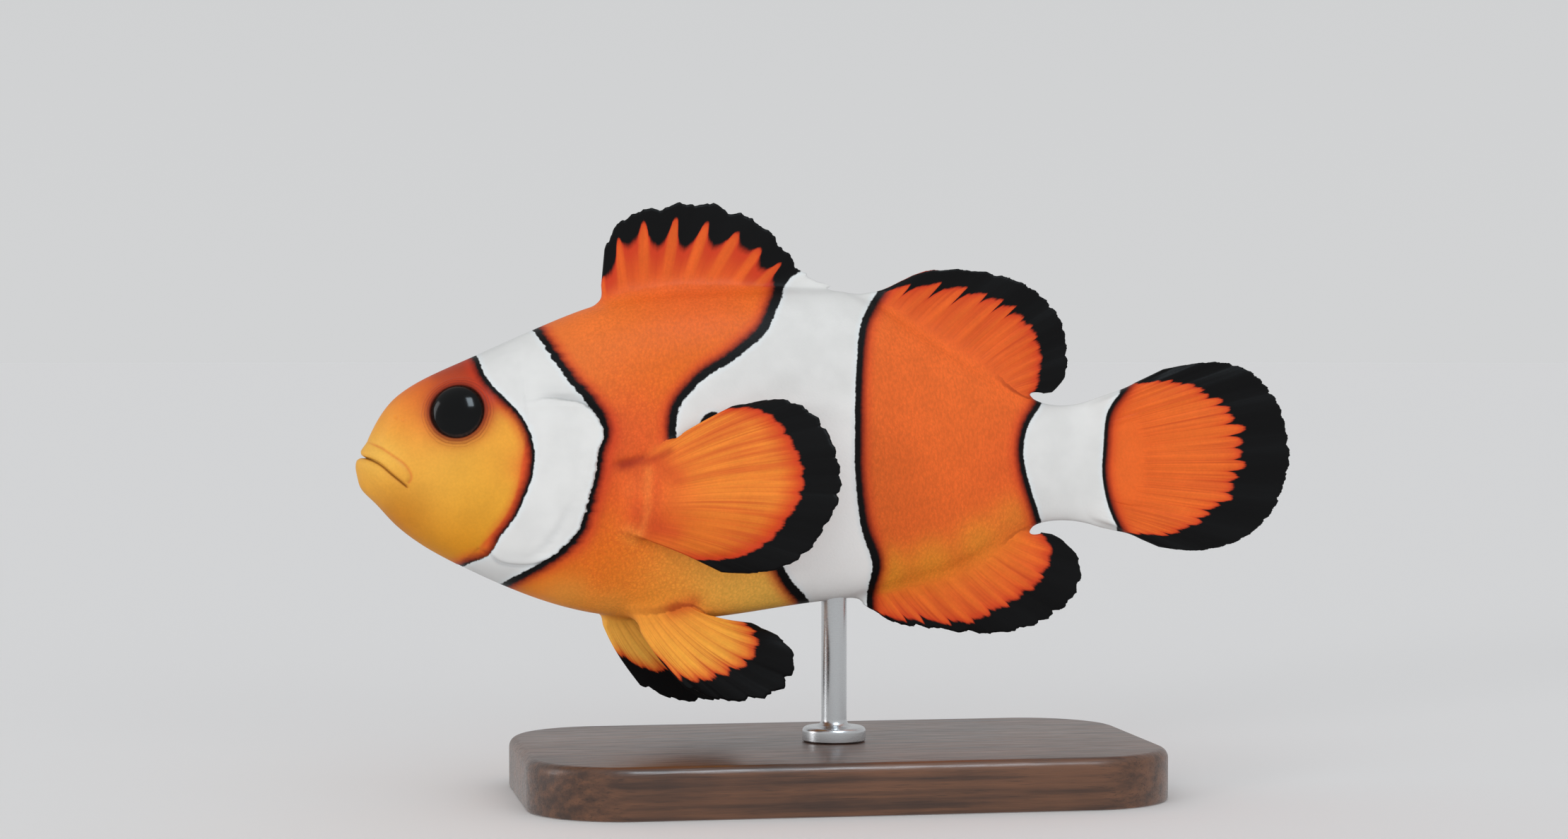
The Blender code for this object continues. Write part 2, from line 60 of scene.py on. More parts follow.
# Body stations: x, back, belly, half width, height of the widest point, squareness of the section.
STATIONS = (
    (0.0, -1.0, -1.0, 0.0, -1.0, 2.3),
    (0.6, 1.6, -2.65, 1.8, -0.9, 2.3),
    (2.1, 4.4, -3.95, 3.1, -0.7, 2.3),
    (5.1, 7.2, -6.6, 4.4, -0.5, 2.3),
    (10.0, 9.6, -9.45, 5.7, -0.3, 2.3),
    (15.5, 12.05, -11.95, 6.6, -0.1, 2.2),
    (20.9, 14.3, -13.65, 7.1, 0.0, 2.15),
    (26.0, 15.75, -14.4, 7.2, 0.2, 2.1),
    (33.0, 16.35, -14.45, 7.0, 0.5, 2.1),
    (43.5, 16.35, -13.1, 6.0, 0.9, 2.1),
    (48.8, 15.3, -12.45, 5.2, 0.8, 2.1),
    (53.2, 12.5, -11.35, 4.4, 0.5, 2.1),
    (58.7, 9.3, -9.4, 3.3, 0.2, 2.1),
    (63.5, 6.25, -6.4, 2.4, 0.0, 2.1),
    (66.8, 5.35, -5.65, 1.9, 0.0, 2.1),
    (70.0, 5.85, -6.05, 1.35, 0.0, 2.1),
    (73.3, 6.9, -6.9, 0.75, 0.0, 2.1),
    (BODY_END, 6.6, -6.5, 0.2, 0.0, 2.1),
)

# The eyes' place, their radius, half their depth and how far they stand out.
EYE_PLACE = (9.15, 5.05)
EYE_RADIUS = 3.0
EYE_DEPTH = 2.0
EYE_BULGE = 0.75

# Where the lips meet, the crease round the upper lip, the cheek plate's edge, the fold on the throat
# and the crease over the pectoral fin's fleshy base.
MOUTH = (
    (-1.2, 0.98), (0.3, 0.92), (0.7, 0.82), (1.1, 0.7), (1.6, 0.5), (2.3, 0.1), (2.9, -0.4), (3.6, -1.0),
    (4.2, -1.5), (4.6, -1.85),
)
LIP_CREASE = (
    (-0.4, 2.9), (0.6, 2.55), (1.3, 2.15), (2.3, 1.7), (3.0, 1.25), (3.8, 0.7), (4.5, 0.1), (4.9, -0.55),
    (5.0, -1.0), (4.75, -1.45),
)
CHEEK_EDGE = (
    (15.2, 5.6), (15.3, 4.3), (15.3, 2.8), (15.0, 1.0), (14.6, -1.4), (13.8, -3.8), (12.9, -5.3),
    (11.2, -7.3),
)
THROAT_FOLD = ((11.6, -7.8), (12.3, -8.3), (13.0, -8.8), (14.2, -9.1), (15.6, -9.1), (17.2, -8.6))
PECTORAL_CREASE = ((22.2, -0.25), (23.0, 0.0), (24.2, 0.2), (25.4, 0.35), (26.8, 0.5))

# White bands, each between a front and a hind curve that run down the side: (x, z, width of the
# black line along the curve there).
BANDS = (
    (
        (
            (10.6, 12.0, 0.5), (11.3, 9.8, 0.45), (11.7, 8.4, 0.42), (13.0, 6.7, 0.34), (14.6, 5.0, 0.3),
            (15.6, 3.2, 0.3), (16.0, 1.3, 0.3), (15.8, -0.8, 0.28), (15.1, -2.8, 0.26), (14.1, -4.9, 0.2),
            (12.7, -6.9, 0.12), (12.1, -8.1, 0.06), (10.9, -8.7, 0.12), (9.9, -9.4, 0.3),
            (9.4, -12.0, 0.35),
        ),
        (
            (15.4, 15.0, 0.6), (16.5, 12.3, 0.6), (17.4, 10.6, 0.6), (18.3, 9.1, 0.62), (19.4, 7.5, 0.65),
            (20.4, 6.3, 0.75), (21.0, 5.5, 0.75), (21.5, 4.8, 0.75), (22.0, 4.0, 0.6), (22.3, 3.1, 0.45),
            (22.0, 2.0, 0.42), (21.7, 0.9, 0.42), (21.5, -0.6, 0.42), (21.2, -1.7, 0.42),
            (20.9, -3.0, 0.45), (20.5, -4.4, 0.45), (20.1, -5.6, 0.48), (19.3, -6.7, 0.52),
            (18.6, -7.4, 0.52), (17.8, -8.1, 0.52), (16.6, -8.9, 0.52), (15.6, -9.5, 0.54),
            (14.1, -10.4, 0.6), (12.6, -12.0, 0.6), (11.8, -14.0, 0.6),
        ),
    ),
    (
        (
            (44.2, 20.4, 0.9), (43.4, 18.8, 0.9), (41.7, 18.0, 0.9), (40.4, 17.0, 0.85), (39.6, 15.6, 0.8),
            (39.0, 14.6, 0.8), (38.4, 13.4, 0.8), (37.2, 11.8, 0.8), (35.7, 10.6, 0.8), (34.0, 9.4, 0.75),
            (31.9, 8.2, 0.7), (30.7, 7.1, 0.7), (29.7, 6.0, 0.7), (29.15, 5.0, 0.7), (28.95, 3.9, 0.7),
            (28.95, 2.3, 0.7), (29.3, 0.8, 0.7), (30.1, 0.9, 0.7), (30.7, 2.6, 0.7), (31.05, 3.8, 0.7),
            (31.5, 4.6, 0.7), (32.1, 4.95, 0.7), (32.8, 4.9, 0.7), (33.5, 4.2, 0.7), (34.1, 2.4, 0.7),
            (34.8, -2.0, 0.7), (37.0, -6.6, 0.75), (39.3, -9.4, 0.8), (40.2, -10.8, 0.8),
            (41.5, -12.1, 0.8), (43.6, -14.6, 0.8),
        ),
        (
            (50.2, 18.6, 0.6), (49.3, 16.4, 0.6), (48.3, 15.2, 0.62), (47.3, 13.9, 0.62),
            (46.7, 12.4, 0.62), (46.3, 10.0, 0.6), (46.0, 6.8, 0.6), (45.9, 3.7, 0.6), (45.9, -0.5, 0.6),
            (46.2, -3.5, 0.62), (46.8, -6.4, 0.68), (47.6, -8.3, 0.75), (48.0, -9.6, 0.78),
            (47.9, -11.0, 0.7), (48.0, -12.7, 0.6), (48.4, -15.0, 0.5),
        ),
    ),
    (
        (
            (66.6, 8.0, 0.5), (64.9, 5.4, 0.5), (63.6, 3.9, 0.5), (62.9, 2.2, 0.5), (62.8, 0.6, 0.5),
            (63.2, -1.4, 0.5), (64.0, -3.6, 0.5), (65.0, -5.7, 0.5), (66.8, -8.0, 0.5),
        ),
        (
            (75.0, 9.5, 0.4), (72.7, 6.6, 0.4), (71.7, 5.4, 0.42), (71.2, 4.2, 0.42), (71.0, 2.6, 0.4),
            (70.9, 0.9, 0.38), (70.8, -0.6, 0.36), (71.0, -2.5, 0.36), (71.5, -4.4, 0.36),
            (72.2, -6.0, 0.36), (74.4, -9.0, 0.36),
        ),
    ),
)

# The gill cover's free edge, which runs along the first band's hind edge below the eye's height.
GILL_EDGE = (
    (14.2, 5.6), (15.6, 6.0), (16.9, 6.2), (18.8, 6.1), (20.0, 5.9), (20.7, 5.6), (21.4, 4.9),
    *((x, z) for x, z, _ in BANDS[0][1][8:24]),
)

# Skin tints as 8-bit display colours, each strongest at its (x, z) place within its reach.
TINTS = (
    ((2.0, 3.2), 2.6, (236, 166, 64)),
    ((2.2, 1.0), 1.2, (242, 200, 96)),
    ((1.6, -1.8), 1.6, (222, 158, 60)),
    ((4.0, -4.6), 2.2, (182, 100, 0)),
    ((6.5, 0.0), 3.6, (232, 173, 73)),
    ((10.5, -3.4), 3.4, (225, 160, 51)),
    ((9.5, -8.0), 2.6, (198, 122, 8)),
    ((13.6, 1.0), 1.8, (235, 163, 61)),
    ((15.2, 0.0), 0.9, (226, 92, 44)),
    ((5.6, 5.6), 2.4, (228, 106, 44)),
    ((7.6, 8.6), 2.2, (204, 80, 38)),
    ((11.2, 8.9), 1.8, (148, 28, 16)),
    ((9.2, 9.3), 1.7, (164, 44, 22)),
    ((20.0, 12.0), 4.0, (232, 119, 53)),
    ((28.0, 12.0), 5.0, (231, 110, 32)),
    ((30.0, 17.0), 3.0, (222, 90, 44)),
    ((24.5, 3.0), 2.6, (226, 96, 46)),
    ((24.0, -2.0), 2.2, (217, 88, 34)),
    # The next two are painted light on the ridge that carries the pectoral fin.
    ((25.7, -2.0), 0.7, (238, 140, 70)),
    ((24.9, -5.2), 0.8, (240, 160, 76)),
    ((22.5, -7.0), 3.0, (220, 105, 28)),
    ((27.0, -11.0), 4.0, (242, 136, 44)),
    ((34.0, -10.0), 4.0, (246, 192, 86)),
    ((36.0, -2.0), 4.0, (232, 106, 44)),
    ((52.0, 6.0), 6.0, (234, 108, 46)),
    ((56.0, -1.0), 6.0, (234, 106, 43)),
    ((49.5, -10.4), 1.3, (242, 156, 50)),
    ((20.0, -12.4), 1.3, (234, 156, 66)),
    ((23.5, -13.6), 1.3, (240, 164, 72)),
    ((28.6, -11.4), 1.6, (240, 156, 58)),
    ((54.0, -9.3), 1.3, (242, 156, 50)),
    ((58.5, -7.3), 1.3, (242, 156, 50)),
    ((61.6, -4.9), 1.2, (232, 140, 48)),
    ((62.0, 0.0), 2.6, (222, 92, 42)),
)

# Painted shade and painted light round the fins' roots and on the forehead: dark strokes where the skin
# lies in creases and under fins, lighter ones on the ridge that carries the pectoral fin. Each is an (x, z)
# course, width, colour and strength.
SHADES = (
    (((24.0, 0.1), (25.4, 0.45), (26.7, 0.7), (28.2, 1.4)), 0.4, (160, 46, 26), 0.55),
    (((27.4, 0.2), (28.8, -0.9)), 0.9, (196, 66, 34), 0.45),
    (((26.3, -0.3), (26.2, -2.4), (26.1, -4.3), (25.5, -6.2)), 0.32, (242, 142, 66), 0.4),
    (((27.1, -1.0), (27.0, -3.0), (26.9, -4.6)), 0.45, (214, 84, 40), 0.35),
    (((25.3, -0.8), (25.2, -2.6), (25.2, -4.2)), 0.6, (214, 84, 40), 0.35),
    (((27.1, -5.6), (28.4, -6.0)), 0.95, (196, 64, 32), 0.5),
    (((24.6, -6.0), (25.0, -6.6)), 0.8, (240, 156, 66), 0.45),
    (((29.2, -13.4), (30.9, -12.9)), 0.9, (200, 62, 30), 0.65),
    (((7.6, 8.4), (9.2, 8.9), (10.4, 9.5)), 0.75, (150, 56, 38), 0.42),
)

# Fins. "base" and "margin" are (share, x, z): a ray at that share of the fin runs between them, and
# "rays" are the shares where rays stand. "sheet" is the half thickness near the body and at the
# margin, "ridge" how far rays stand out and "bare" the shares of a ray's length over which scales
# give way to rays. "lobes" is how far the web falls short of the ray tips, "plain_front" and
# "plain_hind" where that sets in from the fin's ends, and "bow" bends each ray, as a share of its
# length. "tips" and "webs" are (share, share of the length) where colour gives way to black on and
# between rays; "finger" is that edge's course from one ray to the next (share of the gap, share of
# the way from web to tip) and "uneven" how much the tips differ. "brim" is a black rim on the free
# edges (width, where along the length it starts, which edge) and "lit_rim" a coloured one outside
# the black (first share, last share, width). "tones" colour the fin near the body, midway and near
# the black. "pleats" is how much redder the webs are, "hairs" how strong the fine lines and
# "streaks" the broad ones, "dusk" by how much a fin darkens from one share to another, and "crease"
# the painted shade in the fold where the fin meets the body (depth, x where it starts, x from where
# it is whole, width).
EVEN_FINGER = ((0.0, 1.0), (0.25, 0.93), (0.4, 0.7), (0.5, 0.0), (0.6, 0.7), (0.75, 0.93), (1.0, 1.0))
SPIKY_FINGER = (
    (0.0, 1.0), (0.14, 0.95), (0.28, 0.84), (0.4, 0.58), (0.47, 0.22), (0.5, 0.0), (0.53, 0.22),
    (0.6, 0.58), (0.72, 0.84), (0.86, 0.95), (1.0, 1.0),
)
SWEPT_FINGER = (
    (0.0, 1.0), (0.05, 0.95), (0.12, 0.5), (0.18, 0.0), (0.23, 0.42), (0.33, 0.7), (0.6, 0.88), (1.0, 1.0),
)
FINS = {
    "dorsal_fin_spiny": {
        "rays": (0.0, 0.115, 0.228, 0.335, 0.44, 0.552, 0.66, 0.755, 0.86, 1.0),
        "base": (
            (0.0, 22.6, 13.5), (0.116, 25.2, 14.0), (0.225, 26.9, 14.3), (0.335, 28.5, 14.5),
            (0.445, 30.1, 14.7), (0.56, 31.9, 14.9), (0.66, 34.0, 15.0), (0.76, 35.8, 15.0),
            (0.86, 38.0, 15.0), (1.0, 41.4, 14.8),
        ),
        "margin": (
            (0.0, 23.2, 20.0), (0.11, 24.2, 22.3), (0.22, 26.6, 23.8), (0.33, 30.0, 24.5),
            (0.44, 33.5, 24.5), (0.55, 36.7, 23.4), (0.66, 39.1, 21.7), (0.77, 41.1, 19.4),
            (0.88, 42.8, 17.6), (1.0, 45.0, 16.6),
        ),
        "sheet": (0.55, 0.26),
        "ridge": 0.05,
        "bare": (0.15, 0.42),
        "lobes": 0.45,
        "plain_hind": (0.04, 0.16),
        "bow": 0.0,
        "tips": (
            (0.0, 0.6), (0.115, 0.86), (0.228, 0.89), (0.335, 0.86), (0.44, 0.825), (0.552, 0.825),
            (0.66, 0.79), (0.755, 0.83), (0.812, 0.58), (0.86, 0.4), (1.0, 0.2),
        ),
        "webs": (
            (0.0, 0.5), (0.048, 0.6), (0.173, 0.62), (0.285, 0.585), (0.38, 0.59), (0.482, 0.62),
            (0.59, 0.615), (0.698, 0.625), (0.795, 0.56), (0.86, 0.36), (1.0, 0.2),
        ),
        "finger": (
            (0.0, 1.0), (0.05, 0.985), (0.085, 0.9), (0.125, 0.68), (0.17, 0.42), (0.25, 0.2), (0.36, 0.06),
            (0.5, 0.0), (0.64, 0.06), (0.75, 0.2), (0.83, 0.42), (0.875, 0.68), (0.915, 0.9), (0.95, 0.985),
            (1.0, 1.0),
        ),
        "tones": ((228, 102, 44), (226, 98, 38), (222, 92, 36)),
        "pleats": 0.85,
        "hairs": 0.2,
        "streaks": 0.1,
    },
    "dorsal_fin_soft": {
        "rays": (
            0.0, 0.12, 0.22, 0.31, 0.415, 0.503, 0.578, 0.633, 0.688, 0.735, 0.78, 0.822, 0.863, 0.905,
            0.95, 1.0,
        ),
        "base": (
            (0.0, 46.4, 14.6), (0.12, 47.3, 14.1), (0.227, 48.6, 13.2), (0.314, 50.2, 12.3),
            (0.428, 52.2, 11.2), (0.515, 53.9, 10.3), (0.587, 55.1, 9.6), (0.656, 56.3, 8.9),
            (0.717, 57.2, 8.4), (0.797, 58.4, 7.7), (0.871, 59.5, 7.05), (0.93, 60.4, 6.5),
            (1.0, 61.6, 5.7),
        ),
        "margin": (
            (0.0, 47.2, 15.95), (0.1, 50.0, 16.5), (0.2, 53.2, 18.0), (0.3, 56.6, 18.4), (0.4, 59.4, 18.2),
            (0.5, 61.7, 17.7), (0.6, 63.9, 16.8), (0.7, 66.0, 15.2), (0.8, 67.4, 12.8), (0.88, 67.8, 10.4),
            (0.95, 67.4, 7.9), (1.0, 66.2, 6.6),
        ),
        "sheet": (0.55, 0.24),
        "ridge": 0.03,
        "bare": (0.05, 0.3),
        "lobes": 0.2,
        "plain_front": (0.04, 0.16),
        "bow": 0.02,
        "tips": (
            (0.0, 0.9), (0.12, 0.78), (0.22, 0.73), (0.31, 0.775), (0.415, 0.785), (0.503, 0.77),
            (0.578, 0.775), (0.633, 0.78), (0.688, 0.755), (0.78, 0.745), (0.863, 0.715), (0.922, 0.64),
            (0.98, 0.6), (1.0, 0.5),
        ),
        "webs": (
            (0.0, 0.8), (0.14, 0.55), (0.25, 0.45), (0.33, 0.52), (0.438, 0.48), (0.53, 0.54), (0.593, 0.6),
            (0.66, 0.66), (0.72, 0.71), (0.863, 0.69), (0.922, 0.61), (0.98, 0.57), (1.0, 0.45),
        ),
        "finger": SWEPT_FINGER,
        "brim": (0.3, 0.45, "hind"),
        "lit_rim": (0.06, 0.27, 0.16),
        "tones": ((226, 100, 42), (226, 100, 40), (224, 92, 36)),
        "pleats": 0.28,
        "hairs": 0.38,
        "streaks": 0.3,
        "crease": (0.65, 59.6, 61.6, 0.2),
    },
    "anal_fin": {
        "rays": (0.0, 0.07, 0.155, 0.217, 0.302, 0.388, 0.475, 0.562, 0.623, 0.695, 0.765, 0.84, 0.91, 1.0),
        "base": (
            (0.0, 46.0, -11.3), (0.07, 47.3, -11.1), (0.204, 49.5, -10.8), (0.3, 51.3, -10.4),
            (0.388, 53.0, -9.95), (0.476, 54.6, -9.35), (0.553, 55.9, -8.85), (0.67, 57.6, -8.0),
            (0.76, 58.8, -7.45), (0.843, 59.7, -7.0), (0.934, 60.7, -6.5), (1.0, 61.4, -5.9),
        ),
        "margin": (
            (0.0, 47.8, -13.4), (0.08, 50.4, -15.1), (0.2, 53.6, -15.8), (0.3, 57.0, -16.3),
            (0.4, 60.1, -16.5), (0.5, 62.9, -16.2), (0.6, 65.5, -15.4), (0.7, 67.6, -14.0),
            (0.8, 69.0, -12.0), (0.88, 69.2, -10.0), (0.95, 68.0, -8.0), (1.0, 66.2, -6.95),
        ),
        "sheet": (0.55, 0.24),
        "ridge": 0.03,
        "bare": (0.05, 0.3),
        "lobes": 0.36,
        "bow": -0.02,
        "tips": (
            (0.0, 0.97), (0.07, 0.93), (0.155, 0.92), (0.217, 0.9), (0.302, 0.89), (0.388, 0.84),
            (0.475, 0.75), (0.562, 0.71), (0.623, 0.69), (0.695, 0.685), (0.84, 0.675), (0.985, 0.74),
            (1.0, 0.76),
        ),
        "webs": (
            (0.0, 0.93), (0.095, 0.78), (0.228, 0.735), (0.325, 0.745), (0.4, 0.71), (0.5, 0.66),
            (0.62, 0.66), (0.695, 0.66), (0.84, 0.65), (0.985, 0.72), (1.0, 0.74),
        ),
        "finger": SWEPT_FINGER,
        "brim": (0.2, 0.6, "hind"),
        "tones": ((238, 126, 46), (236, 112, 43), (232, 98, 40)),
        "pleats": 0.3,
        "hairs": 0.4,
        "streaks": 0.25,
        "crease": (0.4, 60.2, 61.6, 0.2),
    },
    "tail_fin": {
        "rays": tuple(i / 26 for i in range(27)),
        "base": (
            (0.0, 71.4, 6.1), (0.25, 70.4, 3.6), (0.5, 70.0, 0.2), (0.75, 70.4, -3.4), (1.0, 71.4, -6.0),
        ),
        "margin": (
            (0.0, 77.2, 8.8), (0.12, 82.6, 9.55), (0.25, 86.6, 8.2), (0.38, 89.0, 5.1),
            (0.5, TOTAL_LENGTH, 0.8), (0.62, 89.2, -3.2), (0.75, 86.6, -6.8), (0.88, 81.6, -8.7),
            (1.0, 76.8, -8.3),
        ),
        "sheet": (0.8, 0.24),
        "ridge": 0.02,
        "bare": (0.1, 0.3),
        "lobes": 0.22,
        "bow": 0.0,
        "tips": (
            (0.0, 0.5), (0.058, 0.57), (0.17, 0.64), (0.268, 0.695), (0.37, 0.76), (0.417, 0.78),
            (0.527, 0.765), (0.595, 0.755), (0.667, 0.735), (0.728, 0.68), (0.81, 0.65), (0.873, 0.64),
            (0.963, 0.49), (1.0, 0.4),
        ),
        "webs": (
            (0.0, 0.46), (0.12, 0.565), (0.235, 0.645), (0.357, 0.69), (0.438, 0.7), (0.495, 0.71),
            (0.542, 0.7), (0.615, 0.7), (0.69, 0.65), (0.78, 0.62), (0.845, 0.61), (0.963, 0.46),
            (1.0, 0.36),
        ),
        "finger": SPIKY_FINGER,
        "uneven": 0.017,
        "tones": ((226, 98, 38), (233, 108, 42), (230, 98, 38)),
        "pleats": 0.1,
        "hairs": 0.45,
        "streaks": 0.3,
    },
}

# Paired fins lie in their own plane: x back along the fin, z up. "place" is the root on the body,
# "flare" turns the fin out from the body about the vertical, "splay" swings its lower edge out and
# "curl" bends its free end. The right fin of a pair stands "ahead" millimetres in front of the left
# one and is swung by "stroke" degrees, and "right" holds what else differs on it. The right pelvic
# fin's lighter tones there are painted light, against the shade that the left fin and the belly throw on it.
PAIRED_FINS = {
    "pectoral_fin": {
        "rays": tuple(i / 16 for i in range(17)),
        "base": ((0.0, -2.3, -0.97), (0.5, -2.4, -3.3), (1.0, -2.5, -6.08)),
        "margin": (
            (0.0, 7.4, 5.7), (0.12, 12.2, 6.4), (0.22, 15.0, 5.3), (0.34, 17.1, 2.7), (0.46, 18.0, -0.3),
            (0.57, 17.8, -3.2), (0.68, 16.4, -5.7), (0.79, 14.6, -8.0), (0.89, 11.4, -9.4),
            (1.0, 6.9, -9.5),
        ),
        "sheet": (0.5, 0.22),
        "ridge": 0.015,
        "bare": (0.14, 0.36),
        "lobes": 0.28,
        "bow": 0.03,
        "tips": (
            (0.0, 0.955), (0.02, 0.95), (0.113, 0.865), (0.217, 0.845), (0.31, 0.835), (0.417, 0.845),
            (0.492, 0.845), (0.613, 0.83), (0.693, 0.82), (0.792, 0.8), (0.905, 0.78), (1.0, 0.76),
        ),
        "webs": (
            (0.0, 0.945), (0.02, 0.94), (0.113, 0.86), (0.217, 0.84), (0.31, 0.83), (0.417, 0.84),
            (0.492, 0.84), (0.613, 0.825), (0.693, 0.815), (0.792, 0.795), (0.905, 0.775), (1.0, 0.755),
        ),
        "finger": EVEN_FINGER,
        "brim": (0.3, 0.62, "hind"),
        "tones": ((228, 102, 44), (234, 133, 50), (218, 84, 34)),
        "dusk": (0.5, 0.8, 0.27),
        "pleats": 0.0,
        "hairs": 0.3,
        "streaks": 0.5,
        "place": (26.4, 6.9, 0.0),
        "flare": 27.0,
        "splay": 6.0,
        "curl": 1.4,
    },
    "pelvic_fin": {
        "rays": tuple(i / 8 for i in range(9)),
        "base": ((0.0, -0.4, 1.0), (0.5, 2.6, 0.8), (1.0, 5.6, 0.4)),
        "margin": (
            (0.0, 5.2, -7.05), (0.14, 8.0, -8.2), (0.28, 10.9, -8.45), (0.42, 13.4, -7.9),
            (0.56, 15.1, -6.5), (0.7, 15.6, -4.6), (0.8, 15.0, -3.1), (0.9, 13.5, -1.9), (1.0, 11.4, -0.95),
        ),
        "sheet": (0.5, 0.24),
        "ridge": 0.025,
        "bare": (0.02, 0.14),
        "lobes": 0.5,
        "bow": -0.05,
        "tips": (
            (0.0, 0.93), (0.072, 0.85), (0.143, 0.82), (0.24, 0.77), (0.403, 0.71), (0.578, 0.72),
            (0.7, 0.72), (0.828, 0.75), (0.95, 0.85), (1.0, 0.88),
        ),
        "webs": (
            (0.0, 0.9), (0.072, 0.8), (0.143, 0.77), (0.24, 0.72), (0.403, 0.665), (0.578, 0.69),
            (0.7, 0.7), (0.828, 0.72), (0.95, 0.83), (1.0, 0.86),
        ),
        "finger": EVEN_FINGER,
        "brim": (0.22, 0.45, "front"),
        "tones": ((246, 160, 62), (248, 172, 66), (234, 126, 50)),
        "pleats": 0.12,
        "hairs": 0.55,
        "streaks": 0.1,
        "crease": (0.7, 22.5, 29.5, 0.42),
        "place": (23.9, 1.9, -13.7),
        "flare": 7.0,
        "splay": 14.0,
        "curl": 0.7,
        "ahead": 2.6,
        "stroke": 5.0,
        "right": {
            # Lighter tones than the left fin's: painted light against the shade the left fin and the belly
            # throw here.
            "tones": ((255, 186, 80), (255, 194, 84), (244, 140, 56)),
            "tips": ((0.0, 0.62), (0.2, 0.68), (0.4, 0.66), (0.7, 0.7), (1.0, 0.86)),
            "webs": ((0.0, 0.6), (0.2, 0.65), (0.4, 0.64), (0.7, 0.68), (1.0, 0.84)),
        },
    },
}

# Where the two nostrils of each side are, and how far back the body's relief reaches.
NOSTRILS = ((3.7, 4.5), (4.3, 4.25))
RELIEF_END = 30.0

# The skin's fields: the names of those that only fins set, what fields say on the plain body, far
# from the white bands and far from the eyes, and the names of those that hold the ground colour.
FIN_MARKS = ("pleats", "hairs", "streaks")
PLAIN_BODY = {"black": -5.0} | dict.fromkeys(("ray", "reach", "fin", *FIN_MARKS), 0.0)
FAR_FROM_WHITE = -9.0
NO_LID = 6.0
TONE = ("tone_r", "tone_g", "tone_b")

# How a fin's dusk weighs on red, green and blue, how much painted light brightens the smoothed skin
# where fins meet the body, against the shade there, how uneven the scales stand, and the colour of black
# markings.
DUSK_TINT = (0.7, 1.3, 1.6)
SEAM_LIGHT = 0.1
SCALE_DISORDER = 0.85
INK = (12, 12, 13)

# The photo's view: where on the fish the camera looks, from which side (degrees) and how far away
# (metres), and the place that the lights are aimed at.
VIEW_TARGET = (40.2, 0.0, 4.1)
VIEW_AZIMUTH, VIEW_ELEVATION, VIEW_DISTANCE = -10.0, 1.2, 0.3077
LIT_PLACE = (42.0, 0.0, 2.0)


# ---------------------------------------------------------------- curves and the plain body


def spline(knots, values):
    """A natural cubic spline through (knots, values), as a function of an array."""
    knots, values = np.asarray(knots, float), np.asarray(values, float)
    step = np.diff(knots)
    slope = np.diff(values) / step
    count = len(knots)
    system, right = np.eye(count), np.zeros(count)
    for i in range(1, count - 1):
        system[i, i - 1 : i + 2] = step[i - 1], 2 * (step[i - 1] + step[i]), step[i]
        right[i] = 6 * (slope[i] - slope[i - 1])
    bend = np.linalg.solve(system, right)

    def value(at):
        at = np.asarray(at, float)
        i = np.clip(np.searchsorted(knots, at, side="right") - 1, 0, count - 2)
        a, b, h = at - knots[i], knots[i + 1] - at, step[i]
        cubic = (bend[i] * b**3 + bend[i + 1] * a**3) / (6 * h)
        return cubic + (values[i] / h - bend[i] * h / 6) * b + (values[i + 1] / h - bend[i + 1] * h / 6) * a

    return value


def steady(rows):
    """Straight-line interpolation through (share, value) rows, for courses that must not overshoot."""
    shares, values = zip(*rows)
    return lambda at: np.interp(at, shares, values)


def smooth_curve(points, count=40):
    """The points' smooth curve by chord length; columns after x and z are carried along."""
    points = np.asarray(points, float)
    chord = np.concatenate([[0.0], np.cumsum(np.linalg.norm(np.diff(points[:, :2], axis=0), axis=1))])
    at = np.linspace(0, chord[-1], count)
    return np.stack([spline(chord, column)(at) for column in points.T], axis=1)


STATION_COLUMNS = list(zip(*STATIONS))
STATION_ROOTS = np.sqrt(STATION_COLUMNS[0])
BACK, BELLY, HALF_WIDTH, WIDEST, SQUARENESS = (spline(STATION_ROOTS, c) for c in STATION_COLUMNS[1:])


def half_width_at(x, z):
    """How far the body's side stands from the middle plane at (x, z)."""
    root = math.sqrt(x)
    widest = float(WIDEST(root))
    reach = float(BACK(root)) - widest if z > widest else widest - float(BELLY(root))
    n = float(SQUARENESS(root))
    share = min(abs(z - widest) / reach, 1.0)
    return float(HALF_WIDTH(root)) * (1 - share**n) ** (1 / n)


def side_normal(x, z):
    """The outward normal of the right side at (x, z)."""
    d = 0.05
    along = Vector((2 * d, half_width_at(x + d, z) - half_width_at(x - d, z), 0))
    up = Vector((0, half_width_at(x, z + d) - half_width_at(x, z - d), 2 * d))
    return up.cross(along).normalized()


def axis_height():
    """Height of the fish's long axis in the frame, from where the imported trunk's belly and back lie."""
    x = np.linspace(12, 60, 400)
    middle = (BACK(np.sqrt(x)).max() + BELLY(np.sqrt(x)).min()) / 2
    low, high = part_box("trunk")
    return (low[2] + high[2]) / 2 / MM - middle


AXIS = axis_height()


def to_world(points):
    """Fish millimetres to the frame's metres."""
    return (np.asarray(points, float) + (-TOTAL_LENGTH / 2, 0, AXIS)) * MM


def ripple(value, pitch=1.0):
    """An uneven wave between about -1 and 1."""
    t = np.asarray(value) * 2 * math.pi / pitch
    swell = 0.5 * np.sin(t + 1.3 * np.sin(0.37 * t))
    return swell + 0.3 * np.sin(1.73 * t + 0.9) + 0.2 * np.sin(3.1 * t + 2.1)


def ease(low, high, value):
    """0 at low, 1 at high, smooth between."""
    t = np.clip((value - low) / (high - low), 0, 1)
    return t * t * (3 - 2 * t)


def window(start, full, fade, gone, value):
    """0 up to start, 1 from full to fade, 0 again from gone."""
    return ease(start, full, value) * (1 - ease(fade, gone, value))


def hump(value, width):
    """1 at zero, falling off over the width on both sides."""
    return np.exp(-((value / width) ** 2))


